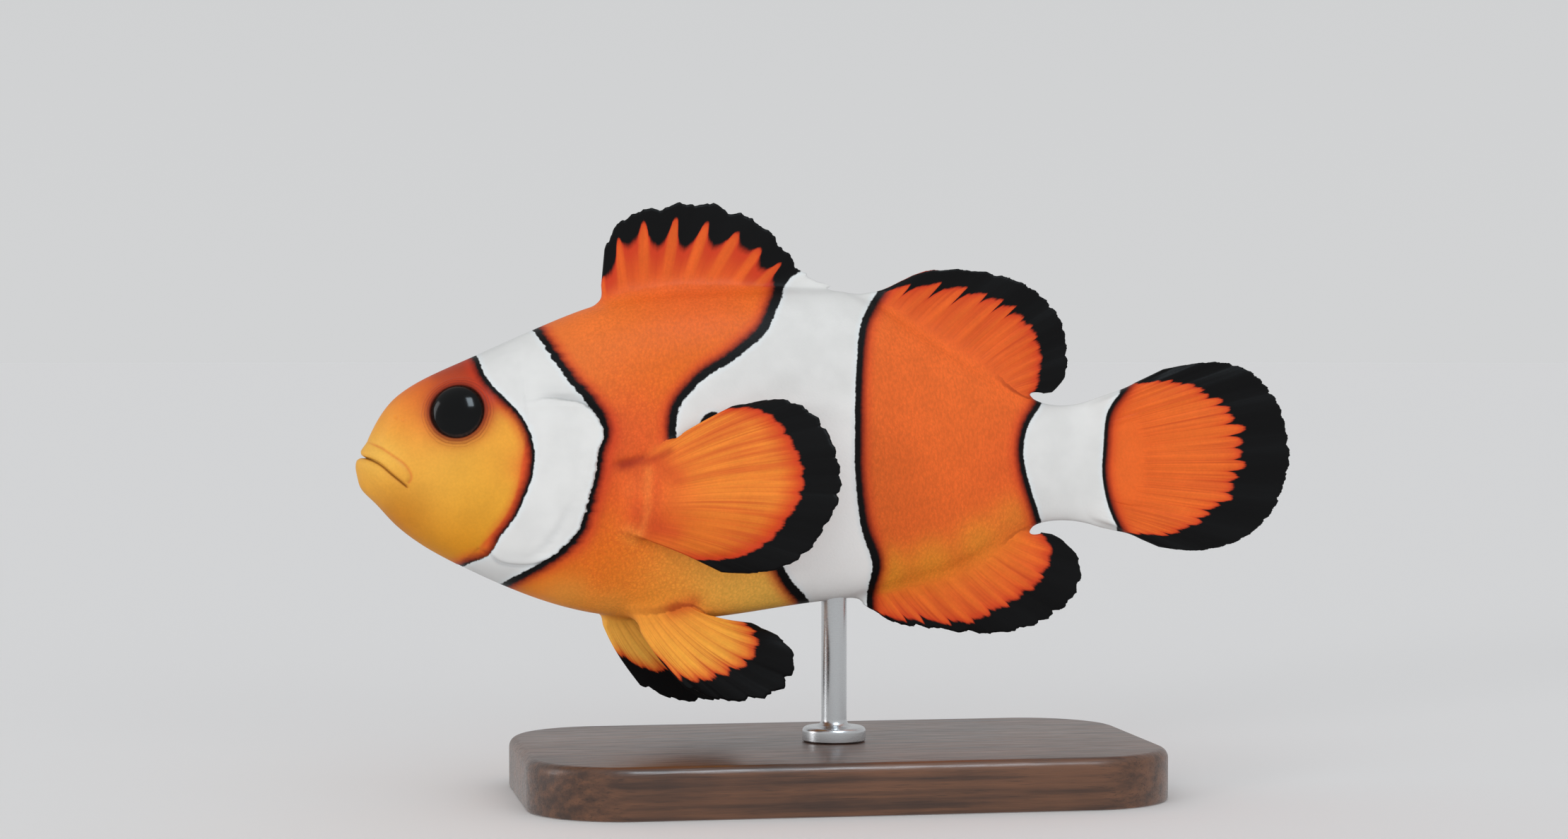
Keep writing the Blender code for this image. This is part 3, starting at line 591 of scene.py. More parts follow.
def off_curve(points, curve, reach=5.0):
    """Distance of (x, z) points from a curve, positive on its left looking along it (which is behind
    it, for a curve that runs down), and the curve's extra column at the nearest place."""
    distance = np.full(len(points), reach)
    extra = curve.shape[1] > 2
    carried = np.full(len(points), curve[0, 2] if extra else 0.0)
    low, high = curve[:, :2].min(axis=0) - reach, curve[:, :2].max(axis=0) + reach
    near = np.flatnonzero(np.all((points > low) & (points < high), axis=1))
    spot = points[near]
    best, sign, value = np.full(len(near), reach**2), np.ones(len(near)), carried[near]
    for a, b in zip(curve, curve[1:]):
        run = b[:2] - a[:2]
        gone = spot - a[:2]
        share = np.clip(gone @ run / (run @ run), 0, 1)
        gap = gone - share[:, None] * run
        d = np.einsum("ij,ij->i", gap, gap)
        closer = d < best
        best[closer] = d[closer]
        turn = run[0] * gone[closer, 1] - run[1] * gone[closer, 0]
        sign[closer] = np.where(turn >= 0, 1.0, -1.0)
        if extra:
            value[closer] = a[2] + share[closer] * (b[2] - a[2])
    distance[near] = np.sqrt(best) * sign
    carried[near] = value
    return distance, carried


def off_course(spot, course, count=40):
    """Distance of (x, z) points from the smooth curve through a course's places."""
    return off_curve(spot, smooth_curve(course, count))[0]


def behind(points, curve):
    """+1 behind a curve that runs down across all heights, -1 in front of it."""
    z = np.clip(points[:, 1], curve[:, 1].min() + 1e-6, curve[:, 1].max() - 1e-6)
    crossings = np.zeros(len(points), int)
    for a, b in zip(curve, curve[1:]):
        across = (a[1] > z) != (b[1] > z)
        cut = a[0] + (z[across] - a[1]) / (b[1] - a[1]) * (b[0] - a[0])
        crossings[across] += points[across, 0] > cut
    return np.where(crossings % 2 == 1, 1.0, -1.0)


# ---------------------------------------------------------------- the body's skin


def even_angles(count, aspect=1.8):
    """Angles round a section that space points evenly on an ellipse that much taller than wide."""
    angle = np.linspace(0, 2 * math.pi, 4001)
    length = np.hypot(np.sin(angle), aspect * np.cos(angle))
    run = np.concatenate([[0.0], np.cumsum((length[1:] + length[:-1]) / 2)])
    return np.interp(np.linspace(0, run[-1], count + 1)[:-1], run, angle)


def body_grid(rings, sectors):
    """Points of the plain body, as rings of sectors."""
    root = np.linspace(0.04, math.sqrt(BODY_END), rings)[:, None]
    angle = even_angles(sectors)[None, :]
    n, half, widest = SQUARENESS(root), HALF_WIDTH(root), WIDEST(root)
    c, s = np.cos(angle), np.sin(angle)
    r = (np.abs(c) ** n + np.abs(s) ** n) ** (-1 / n)
    reach = np.where(s > 0, BACK(root) - widest, widest - BELLY(root))
    return np.stack([np.broadcast_to(root**2, r.shape), half * r * c, widest + reach * r * s], axis=-1)


def grid_normals(grid):
    """Outward normals at the points of closed rings."""
    along = np.gradient(grid, axis=0)
    around = np.roll(grid, -1, axis=1) - np.roll(grid, 1, axis=1)
    normal = np.cross(around, along)
    return normal / np.maximum(np.linalg.norm(normal, axis=-1, keepdims=True), 1e-9)


def eye_axis(side):
    """The eye's centre and the direction it looks in, in fish coordinates."""
    x, z = EYE_PLACE
    normal = side_normal(x, z)
    centre = Vector((x, half_width_at(x, z), z)) + normal * (EYE_BULGE - EYE_DEPTH)
    flip = Vector((1, side, 1))
    return centre * flip, normal * flip


def eye_range(points, side):
    """How far points of one side are from the line that the eye looks along, or 99 elsewhere."""
    centre, look = (np.array(v) for v in eye_axis(side))
    away = points - centre
    depth = away @ look
    r = np.linalg.norm(away - depth[:, None] * look, axis=1)
    return np.where((depth > -1.2) & (points[:, 1] * side > 0), r, 99.0)


def mouth_relief(spot):
    """Lips, the slit between them and the crease above, as heights over the plain body."""
    x, z = spot.T
    slit, crease = off_course(spot, MOUTH, 60), off_course(spot, LIP_CREASE, 60)
    before_corner = 1 - ease(4.3, 5.2, x - 0.3 * np.minimum(slit, 0))
    soft = 0.45 + 0.7 * (1 - ease(0.5, 2.5, x))
    upper = ease(0.0, 0.5, slit) * ease(0.0, 1.0, -crease / soft) * (x < 5.6) * (z > -2.2)
    roll = window(0.0, 0.55, 0.7, 2.4, -slit) * (1 - ease(2.2, 4.8, x))
    fold = hump(-slit - 1.15, 0.2) * window(1.2, 1.8, 2.8, 3.6, x)
    height = 0.2 * upper * (1 - ease(4.6, 5.4, x)) + 0.3 * roll - 0.04 * fold
    height -= (0.28 + 0.22 * (1 - ease(0.4, 1.6, x))) * hump(slit, 0.1) * before_corner
    height -= 0.09 * hump(crease, 0.1) * ease(0.6, 1.8, x) * (z > -1.8)
    height -= 0.1 * hump(slit + 0.1, 0.5) * hump(x - 4.9, 0.6)
    return height - 0.33 * (1 - ease(0.5, 4.0, x))


def ragged(z):
    """How unevenly the gill cover's thin edge runs."""
    return 0.1 * ripple(z, 1.3) + 0.05 * ripple(z + 4, 0.47)


def gill_relief(spot):
    """The gill cover's free hind edge stands off the shoulder, with soft folds on cheek and throat."""
    x, z = spot.T
    inside = -off_course(spot, GILL_EDGE, 90) - ragged(z)
    free = ease(14.5, 18.5, x)
    flap = 0.4 * free * ease(-0.06, 0.08, inside) * np.exp(-np.maximum(inside, 0) / 3.0)
    gutter = -0.16 * free * hump(inside + 0.22, 0.22)
    rim_fold = -0.05 * hump(inside - 1.5 - 0.3 * np.sin(z), 0.3) * ease(-2.0, -6.0, z) * free
    top_fold = -0.07 * hump(inside - 1.0, 0.4) * ease(3.6, 5.0, z)
    cheek = off_course(spot, CHEEK_EDGE, 50)
    plate = 0.09 * ease(0.25, -0.1, cheek) * np.exp(-np.maximum(-cheek, 0) / 2.2)
    throat = off_course(spot, THROAT_FOLD, 30)
    throat_fold = -0.14 * hump(throat, 0.13) + 0.06 * hump(throat - 0.4, 0.3)
    return flap + gutter + rim_fold + top_fold + plate + throat_fold


def shoulder_relief(spot):
    """The pit over the pectoral fin's fleshy base, and the ridge that carries the fin."""
    x, z = spot.T
    pit = -0.5 * hump(off_course(spot, PECTORAL_CREASE) - 0.1, 0.32) * window(22.6, 24.8, 27.5, 29.0, x)
    ridge = 0.5 * hump(x - 25.5 - 0.15 * z, 0.75) * ease(0.4, -0.8, z) * ease(-8.4, -5.6, z)
    return pit + ridge


def eye_relief(points, side):
    """The socket under the eye and the rings of its lidless rim."""
    r = eye_range(points, side)
    socket = -1.6 * (1 - ease(1.95, 2.5, r))
    rings = 0.2 * hump(r - 2.6, 0.13) + 0.12 * hump(r - 2.93, 0.12) + 0.07 * hump(r - 3.24, 0.12)
    return socket + rings + 0.14 * hump(r - 2.8, 0.75)


def nostril_relief(spot):
    """Two small pits with faint rims on each side of the snout."""
    away = [np.linalg.norm(spot - np.array(place), axis=1) for place in NOSTRILS]
    return sum(0.02 * hump(d - 0.27, 0.1) - 0.12 * hump(d, 0.16) for d in away)


def grid_quads(rows, columns, closed=False, flip=False, start=0):
    """Faces of a grid of points in rows; closed joins the last column to the first."""
    i, j = np.meshgrid(np.arange(rows - 1), np.arange(columns if closed else columns - 1), indexing="ij")
    k = (j + 1) % columns
    here, ahead = i * columns, (i + 1) * columns
    quads = np.stack([here + j, here + k, ahead + k, ahead + j], axis=-1).reshape(-1, 4)
    return start + (quads[:, ::-1] if flip else quads)


def down_the_side(grid):
    """How far down each side a point lies, along the skin from the middle of the back."""
    top = round(grid.shape[1] / 4)
    turned = np.roll(grid, -top, axis=1)
    step = np.linalg.norm(np.roll(turned, -1, axis=1) - turned, axis=-1)
    run = np.cumsum(step, axis=1) - step
    total = step.sum(axis=1, keepdims=True)
    return np.roll(np.minimum(run, total - run), top, axis=1)


def body_skin():
    """The body without fins: its points, its faces and how far down the side each point lies."""
    rings, sectors = int(540 * FINE), 2 * int(260 * FINE)
    grid = body_grid(rings, sectors)
    points, normals = grid.reshape(-1, 3), grid_normals(grid).reshape(-1, 3)
    spot = points[:, [0, 2]]
    on_head = spot[:, 0] < RELIEF_END
    height = np.zeros(len(points))
    height[on_head] += sum(relief(spot[on_head]) for relief in (mouth_relief, gill_relief, shoulder_relief))
    for _, side in SIDES:
        here = on_head & (points[:, 1] * side > 0)
        height[here] += eye_relief(points[here], side) + nostril_relief(spot[here])
    skin = points + normals * height[:, None]
    snout = skin[:sectors].mean(axis=0, keepdims=True) + (0.05, 0.0, 0.0)
    tail = skin[-sectors:].mean(axis=0, keepdims=True)
    count = len(skin)
    around = np.arange(sectors)
    nose_fan = np.stack([np.full(sectors, count), np.roll(around, -1), around], axis=1)
    last = count - sectors + around
    tail_fan = np.stack([np.full(sectors, count + 1), last, np.roll(last, -1)], axis=1)
    faces = [grid_quads(rings, sectors, closed=True), nose_fan, tail_fan]
    return np.vstack([skin, snout, tail]), faces, np.append(down_the_side(grid), [0.0, 0.0])


# ---------------------------------------------------------------- the fins' skin


def fin_shares(fin):
    """Shares of the fin's columns, closer together where its colours' edge turns between rays."""
    turns = np.array([f for f, _ in fin["finger"]])
    gap = np.unique(np.concatenate([turns, (turns[1:] + turns[:-1]) / 2, np.linspace(0, 1, 9)]))[:-1]
    if FINE < 1:
        gap = gap[::2]
    count = len(fin["rays"]) - 1
    phase = np.append((np.arange(count)[:, None] + gap).reshape(-1), count)
    return np.interp(phase, np.arange(count + 1), fin["rays"]), phase


def through(rows, u):
    """Points of the smooth curve through (share, x, z) rows."""
    share, x, z = zip(*rows)
    return np.stack([spline(share, x)(u), spline(share, z)(u)], axis=-1)


def fin_plane(fin, u, phase, v):
    """Points of the fin's middle plane and ray lengths, on a grid of shares."""
    base, margin = through(fin["base"], u), through(fin["margin"], u)
    off_ray = np.abs(phase - np.round(phase)) * 2
    uneven = 0.75 + 0.5 * np.sin(phase * 2.3 + 1.0) * np.sin(phase * 0.9)
    nick = fin["lobes"] * uneven * off_ray**1.6
    nick += 0.25 * fin["lobes"] * (1 + ripple(phase, 0.61)) + 0.04 * (1 + ripple(phase + 3, 0.23))
    nick *= ease(*fin.get("plain_front", (0.0, 0.06)), u) * ease(*fin.get("plain_hind", (0.0, 0.08)), 1 - u)
    run = margin - base
    length = np.linalg.norm(run, axis=1)
    along = run / length[:, None]
    length = length - nick
    across = np.stack([-along[:, 1], along[:, 0]], axis=-1)
    reach = along[:, None] * (length[:, None] * v)[..., None]
    bow = across[:, None] * (fin["bow"] * length[:, None] * np.sin(math.pi * v))[..., None]
    return base[:, None] + reach + bow, length


def black_depth(fin, u, phase, v, length, front_run, hind_run):
    """How far into the fin's black edge each point is, in millimetres along its ray."""
    gap = np.floor(phase)
    finger = 1 - (0.45 + 0.55 * np.abs(np.sin(gap * 2.3 + 1))) * (1 - steady(fin["finger"])(phase - gap))
    webs = steady(fin["webs"])(u)
    border = webs + (steady(fin["tips"])(u) - webs) * finger
    border = border + fin.get("uneven", 0.0) * np.sin(4.1 * np.round(phase) + 0.7) * finger
    black = (v - border[:, None]) * length[:, None]
    width, start, brim_edge = fin.get("brim", (0.0, 1.0, ""))
    for name, run in (("front", front_run), ("hind", hind_run)):
        if name == brim_edge:
            black = np.maximum(black, 3 * (width - run) - 2 * (1 - ease(start, start + 0.25, v)))
    first, last, rim_width = fin.get("lit_rim", (1.0, 1.0, 0.0))
    lit = window(first, first + 0.05, last - 0.05, last, u)[:, None] * rim_width
    rim = (1 - v) * length[:, None]
    return np.where(rim < lit, np.minimum(black, rim - lit), black)


def fin_tone(fin, u, v, black):
    """The fin's colour near the body, midway and near its black edge, blended into each other."""
    inner, middle, outer = (linear(c) for c in fin["tones"])
    tone = inner + (middle - inner) * ease(0.1, 0.5, v)[..., None]
    tone = tone + (outer - tone) * ease(-2.6, -0.3, black)[..., None] * ease(0.3, 0.6, v)[..., None]
    first, last, loss = fin.get("dusk", (0.0, 1.0, 0.0))
    return tone * (1 - loss * ease(first, last, u)[:, None, None] * DUSK_TINT)


def fin_half(fin, phase, v, length, to_edge):
    """Half the fin's thickness: a sheet with raised rays, flared at its root and rounded at its edge."""
    root_half, tip_half = fin["sheet"]
    half = tip_half + (root_half - tip_half) * (1 - v) ** 1.2
    half = half + 1.1 * np.exp(-((v * length[:, None] / 1.9) ** 2))
    crest = np.cos(math.pi * phase) ** 2
    rays = fin["ridge"] * crest * (1 - 0.45 * v) * ease(*fin["bare"], v) * ease(0.0, 0.1, 1 - v)
    rounding = np.sqrt(np.clip(1 - (1 - np.clip(to_edge / 0.32, 0, 1)) ** 2, 0, 1))
    return (half * 0.85 + rays) * np.maximum(rounding, 0.06)


def fin_faces(columns, rows):
    """Faces of two sheets of columns and rows and of the strip that joins their edges."""
    count = columns * rows
    loop = [(i, 0) for i in range(columns)] + [(columns - 1, r) for r in range(1, rows)]
    loop += [(i, rows - 1) for i in range(columns - 2, -1, -1)] + [(0, r) for r in range(rows - 2, 0, -1)]
    border = np.array([i * rows + r for i, r in loop])
    ahead = np.roll(border, -1)
    strip = np.stack([border, ahead, ahead + count, border + count], axis=1)
    return [grid_quads(columns, rows), grid_quads(columns, rows, flip=True, start=count), strip]


def fin_skin(fin, side=0.0):
    """One fin as two sheets that close in a round edge, with its marking fields."""
    u, phase = fin_shares(fin)
    rows = int(72 * FINE)
    v = (1 - (1 - np.linspace(0, 1, rows)) ** 1.5)[None, :]
    plane, length = fin_plane(fin, u, phase, v)
    v = np.broadcast_to(v, plane.shape[:2])
    front_run, hind_run = (np.linalg.norm(plane - end, axis=-1) for end in (plane[:1], plane[-1:]))
    to_side = np.minimum(front_run, hind_run)
    black = black_depth(fin, u, phase, v, length, front_run, hind_run)
    phase = np.broadcast_to(phase[:, None], v.shape)

    half = fin_half(fin, phase, v, length, np.minimum((1 - v) * length[:, None], to_side))
    wave = 0.16 * np.sin(phase * 1.7 + 0.6) * v**2 * ease(0.0, 1.5, to_side)
    middle = wave - side * fin.get("curl", 0.0) * v**2
    sheets = [np.stack([plane[..., 0], y, plane[..., 1]], axis=-1) for y in (middle - half, middle + half)]
    points = np.concatenate(sheets).reshape(-1, 3)

    bare = ease(*fin["bare"], v)
    fields = {"black": black, "ray": phase, "reach": v, "fin": bare}
    fields |= {name: fin[name] * bare for name in FIN_MARKS}
    fields |= dict(zip(TONE, np.moveaxis(fin_tone(fin, u, v, black), -1, 0)))
    fields = {name: np.tile(value.reshape(-1), 2) for name, value in fields.items()}
    return points, fin_faces(len(u), rows), fields


def fin_turn(fin, side):
    """The rotation and place of a paired fin."""
    turns = ((side * fin["flare"], "Z"), (side * fin["splay"], "X"))
    turns += ((fin.get("stroke", 0.0) if side == RIGHT else 0.0, "Y"),)
    turn = Matrix.Identity(3)
    for angle, axis in turns:
        turn = turn @ Matrix.Rotation(math.radians(angle), 3, axis)
    x, y, z = fin["place"]
    return np.array(turn), np.array((x - side * fin.get("ahead", 0.0) / 2, side * y, z))


# ---------------------------------------------------------------- colour fields


def linear(colour):
    """An 8-bit display colour as linear light."""
    c = np.asarray(colour, float) / 255
    return np.where(c <= 0.04045, c / 12.92, ((c + 0.055) / 1.055) ** 2.4)


def band_fields(points, bands):
    """How far inside a white band each point is, and the black line's width on the band's edge there."""
    spot = points[:, [0, 2]]
    x, z = spot.T
    spot = np.stack([x + ragged(z) * ease(24.0, 20.0, x) * (x > 17), z], axis=1)
    white, line = np.full(len(points), FAR_FROM_WHITE), np.full(len(points), 0.5)
    for front, hind in bands:
        front, hind = smooth_curve(front, 3 * len(front)), smooth_curve(hind, 3 * len(hind))
        d_front, w_front = off_curve(spot, front)
        d_hind, w_hind = off_curve(spot, hind)
        d_front, d_hind = np.abs(d_front) * behind(spot, front), -np.abs(d_hind) * behind(spot, hind)
        inside = np.minimum(d_front, d_hind)
        width = np.where(d_front < d_hind, w_front, w_hind)
        better = inside > white
        white[better], line[better] = inside[better], width[better]
    return white, line


def fold_shade(points):
    """How strongly painted shade darkens each point of the plain body, 0 to 1: above the gill cover's top
    edge, in a fold on its lower part, along the throat's fold, in the pit over the pectoral fin and low under
    the head.
    """
    spot = points[:, [0, 2]]
    x, z = spot.T
    edge = off_course(spot, GILL_EDGE, 90) + ragged(z)
    over_gill = 0.55 * ease(-0.02, 0.06, edge) * np.exp(-np.maximum(edge, 0) / 0.7)
    over_gill = over_gill * (z > 4.6) * ease(16.0, 19.0, x)
    under_gill = 0.22 * hump(edge + 1.5 + 0.3 * np.sin(z), 0.35) * ease(-2.0, -6.0, z) * ease(14.5, 17.5, x)
    throat = 0.5 * hump(off_course(spot, THROAT_FOLD, 30) + 0.05, 0.16) * ease(11.8, 12.8, x)
    pit = 0.85 * hump(off_course(spot, PECTORAL_CREASE) - 0.1, 0.28) * window(22.4, 24.8, 27.5, 29.0, x)
    below = 0.25 * ease(-7.0, -9.6, z) * window(9.5, 11.0, 14.0, 17.0, x)
    return np.clip(over_gill + under_gill + throat + pit + below, 0, 1)


def body_tone(points):
    """The skin's ground colour from the tints and the cheek plate's redder margin, with painted shade round
    the eyes, in the mouth's slit and lip crease, in the pit over the pectoral fin and beside the gill cover's
    upper hind corner, and painted light on the upper back.
    """
    spot = points[:, [0, 2]]
    total, weight = np.zeros((len(points), 3)), np.full(len(points), 1e-6)
    for place, reach, colour in TINTS:
        d = np.linalg.norm(spot - np.array(place), axis=1) / reach
        w = np.exp(-0.5 * d * d) + 0.02 / (1 + d**4)
        total += w[:, None] * linear(colour)
        weight += w
    tone = total / weight[:, None]

    x, z = spot.T
    cheek = np.abs(off_course(spot, CHEEK_EDGE, 50)) * behind(spot, smooth_curve(CHEEK_EDGE, 50))
    on_plate = ease(-0.2, 0.15, cheek) * window(-9.0, -6.0, 4.5, 6.5, z) * (x < 18)
    layers = [(0.85 * on_plate, (230, 96, 44))]
    # Painted shade round each eye's socket, stronger above the eye and darkest at the socket's edge.
    for _, side in SIDES:
        r = eye_range(points, side)
        above = 0.5 + 0.5 * np.clip((z - EYE_PLACE[1] + 0.6 * (x - EYE_PLACE[0])) / 3, -1, 1)
        layers.append(((0.35 + 0.6 * above) * hump(np.maximum(r - 2.7, 0), 0.95), (186, 66, 38)))
        layers.append((0.85 * hump(np.maximum(r - 2.5, 0), 0.42), (120, 40, 26)))
    # Painted shade in the mouth's slit, the lip crease, the pit over the pectoral fin and beside the gill
    # cover's upper hind corner.
    slit, crease = off_course(spot, MOUTH, 60), off_course(spot, LIP_CREASE, 60)
    layers.append((0.75 * hump(slit, 0.09) * (1 - ease(4.4, 4.9, x)), (92, 42, 22)))
    layers.append((0.45 * hump(crease, 0.1) * (x < 5.4) * (z > -1.8) * ease(0.8, 2.0, x), (206, 96, 56)))
    pit = hump(off_course(spot, PECTORAL_CREASE) - 0.1, 0.4) * window(22.4, 24.6, 27.5, 29.0, x)
    layers.append((0.7 * pit, (150, 44, 28)))
    gutter = hump(off_course(spot, GILL_EDGE, 90) - 1.0, 1.0) * ease(18.0, 21.0, x) * ease(7.0, 4.0, z)
    layers.append((0.5 * gutter, (196, 72, 38)))
    for share, colour in layers:
        tone = tone + np.clip(share, 0, 1)[:, None] * (linear(colour) - tone)
    # Painted light: the upper back lighter behind the head, against the shade where it rises to the dorsal
    # fin.
    painted_light_on_back = ease(0.6, 0.92, z / BACK(np.sqrt(np.maximum(x, 0.01)))) * ease(17.0, 24.0, x)
    return tone * (1 + 0.08 * painted_light_on_back[:, None])


# ---------------------------------------------------------------- one skin


def place_object(name, data):
    """A new object in the scene that shows the data."""
    obj = bpy.data.objects.new(name, data)
    bpy.context.scene.collection.objects.link(obj)
    return obj


def mesh_object(name, points, faces):
    """A closed mesh from arrays of points and faces, with its faces turned outwards."""
    mesh = bpy.data.meshes.new(name)
    sizes = np.concatenate([np.full(len(f), f.shape[1]) for f in faces])
    corners = np.concatenate([f.reshape(-1) for f in faces]).astype(np.int32)
    mesh.vertices.add(len(points))
    mesh.vertices.foreach_set("co", points.astype(np.float32).reshape(-1))
    mesh.loops.add(len(corners))
    mesh.loops.foreach_set("vertex_index", corners)
    mesh.polygons.add(len(sizes))
    starts = np.concatenate([[0], np.cumsum(sizes)[:-1]]).astype(np.int32)
    mesh.polygons.foreach_set("loop_start", starts)
    mesh.update(calc_edges=True)
    mesh.validate()
    bm = bmesh.new()
    bm.from_mesh(mesh)
    bmesh.ops.recalc_face_normals(bm, faces=bm.faces)
    bm.to_mesh(mesh)
    bm.free()
    return place_object(name, mesh)


def union(base, others):
    """Joins closed meshes into one, and gives its mesh."""
    for other in others:
        boolean = base.modifiers.new(other.name, "BOOLEAN")
        boolean.operation = "UNION"
        boolean.solver = "MANIFOLD"
        boolean.object = other
    graph = bpy.context.evaluated_depsgraph_get()
    mesh = bpy.data.meshes.new_from_object(base.evaluated_get(graph))
    base.modifiers.clear()
    for other in others:
        bpy.data.objects.remove(other, do_unlink=True)
    base.data = mesh
    return mesh


def nearest_source(points, sources):
    """For each point, the index of the nearest source point."""
    tree = kdtree.KDTree(len(sources))
    for i, p in enumerate(sources.tolist()):
        tree.insert(p, i)
    tree.balance()
    return np.array([tree.find(p)[1] for p in points.tolist()])


def nearness(ends, length, across, count, width, steps):
    """1 at the ends of the edges across a seam, falling to 0 over the width along the mesh."""
    a, b = ends
    near = np.zeros(count)
    near[a[across]] = near[b[across]] = 1.0
    for _ in range(steps):
        passed = near.copy()
        np.maximum.at(passed, a, near[b] - length / width)
        np.maximum.at(passed, b, near[a] - length / width)
        near = passed
    return np.clip(near, 0, 1)


def soften_seams(points, edges, part, fins, width=1.8, rounds=150):
    """Rounds the skin where fins meet the body: smoothed points, a function that smooths other values
    there, how strongly each point is smoothed, and the strength of the painted shade in the folds along the
    fins' roots."""
    a, b = edges.T
    count = len(points)
    length = np.linalg.norm(points[a] - points[b], axis=1)
    across = part[a] != part[b]
    seam = nearness((a, b), length, across, count, width, steps=26)
    live = (seam[a] > 0) | (seam[b] > 0)
    a, b, length, across = a[live], b[live], length[live], across[live]

    # Painted shade in the folds along the roots of fins that have a "crease".
    crease_shade = np.zeros(count)
    for i, fin in enumerate(fins):
        if fin and "crease" in fin:
            depth, first_x, full_x, reach = fin["crease"]
            here = across & ((part[a] == i) | (part[b] == i)) & (points[a, 0] > first_x)
            near = ease(0, 1, nearness((a, b), length, here, count, reach, steps=10))
            crease_shade = np.maximum(crease_shade, depth * near * ease(first_x, full_x, points[:, 0]))

    neighbours = np.bincount(a, minlength=count) + np.bincount(b, minlength=count)
    weight = (ease(0, 1, seam) * 0.6)[:, None]

    def smoothed(values, times):
        for _ in range(times):
            total = [np.bincount(a, v[b], count) + np.bincount(b, v[a], count) for v in values.T]
            average = np.stack(total, axis=1) / np.maximum(neighbours, 1)[:, None]
            values = values + weight * np.where(weight > 0, average - values, 0)
        return values

    return smoothed(points, rounds), smoothed, weight[:, 0], crease_shade


def skin_parts():
    """The body and every fin: object, points in fish coordinates, fields on them and the fin's values."""
    points, faces, down = body_skin()
    fields = {name: np.full(len(points), value) for name, value in PLAIN_BODY.items()}
    lid = np.minimum(*(eye_range(points, side) for _, side in SIDES))
    fields |= {"lid": np.minimum(lid, NO_LID), "fold": fold_shade(points), "down": down}
    fields |= dict(zip(TONE, body_tone(points).T))
    parts = [(mesh_object("skin", points, faces), points, fields, None)]
    both = [(f"{name}_{label}", fin, side) for name, fin in PAIRED_FINS.items() for label, side in SIDES]
    for name, fin, side in [(name, fin, 0.0) for name, fin in FINS.items()] + both:
        if side == RIGHT:
            fin = fin | fin.get("right", {})
        points, faces, fields = fin_skin(fin, side)
        if side:
            turn, place = fin_turn(fin, side)
            points = points @ turn.T + place
        count = len(points)
        fields |= {"down": 20.0 - points[:, 2], "fold": np.zeros(count), "lid": np.full(count, NO_LID)}
        parts.append((mesh_object(name, points, faces), points, fields, fin))
    return parts


def mesh_arrays(mesh):
    """The mesh's points and the ends of its edges."""
    points = np.empty(len(mesh.vertices) * 3, np.float32)
    mesh.vertices.foreach_get("co", points)
    edges = np.empty(len(mesh.edges) * 2, np.int32)
    mesh.edges.foreach_get("vertices", edges)
    return points.reshape(-1, 3).astype(float), edges.reshape(-1, 2)


def make_skin():
    """Body and fins as one closed skin, rounded where they meet, that carries its markings' fields."""
    parts = skin_parts()
    objects, sources, part_fields, fins = zip(*parts)
    part_of = np.concatenate([np.full(len(p), i) for i, p in enumerate(sources)])
    skin = objects[0]
    mesh = union(skin, objects[1:])
    points, edges = mesh_arrays(mesh)
    origin = nearest_source(points, np.vstack(sources))
    fields = {name: np.concatenate([f[name] for f in part_fields])[origin] for name in part_fields[0]}
    part = part_of[origin]

    points, smoothed, weight, crease_shade = soften_seams(points, edges, part, fins)
    blended = ("fin", "fold", *TONE)
    values = np.stack([fields[name] for name in blended], axis=1)
    fields |= dict(zip(blended, smoothed(values, times=50).T))
    # The painted shade along the fins' roots joins the body's painted shade in the fold field.
    fields["fold"] = np.maximum(fields["fold"], crease_shade)
    spot = points[:, [0, 2]]
    # Painted shade and painted light from SHADES, laid over the smoothed tones.
    for course, width, colour, strength in SHADES:
        share = strength * hump(off_course(spot, course, 24), width)
        for name, value in zip(TONE, linear(colour)):
            fields[name] += share * (value - fields[name])
    fields["white"], fields["line"] = np.full(len(points), FAR_FROM_WHITE), np.full(len(points), 0.5)
    worn = [BANDS] + [BANDS[2:] if name == "tail_fin" else BANDS[1:2] for name in FINS]
    for i, bands in enumerate(worn):
        here = part == i
        fields["white"][here], fields["line"][here] = band_fields(points[here], bands)

    mesh.vertices.foreach_set("co", to_world(points).astype(np.float32).reshape(-1))
    for name in (name for name in fields if name not in TONE):
        mesh.attributes.new(name, "FLOAT", "POINT").data.foreach_set("value", fields[name].astype(np.float32))
    # Painted light that brightens the smoothed skin where fins meet the body, against the shade in that
    # hollow.
    seam_light = 1 + SEAM_LIGHT * weight
    colour = np.stack([*(fields[name] * seam_light for name in TONE), np.ones(len(points))], axis=1)
    tone = mesh.attributes.new("tone", "FLOAT_COLOR", "POINT")
    tone.data.foreach_set("color", colour.astype(np.float32).reshape(-1))
    mesh.shade_smooth()
    mesh.update()
    mesh.materials.clear()
    mesh.materials.append(skin_material())
    return skin


# ---------------------------------------------------------------- materials


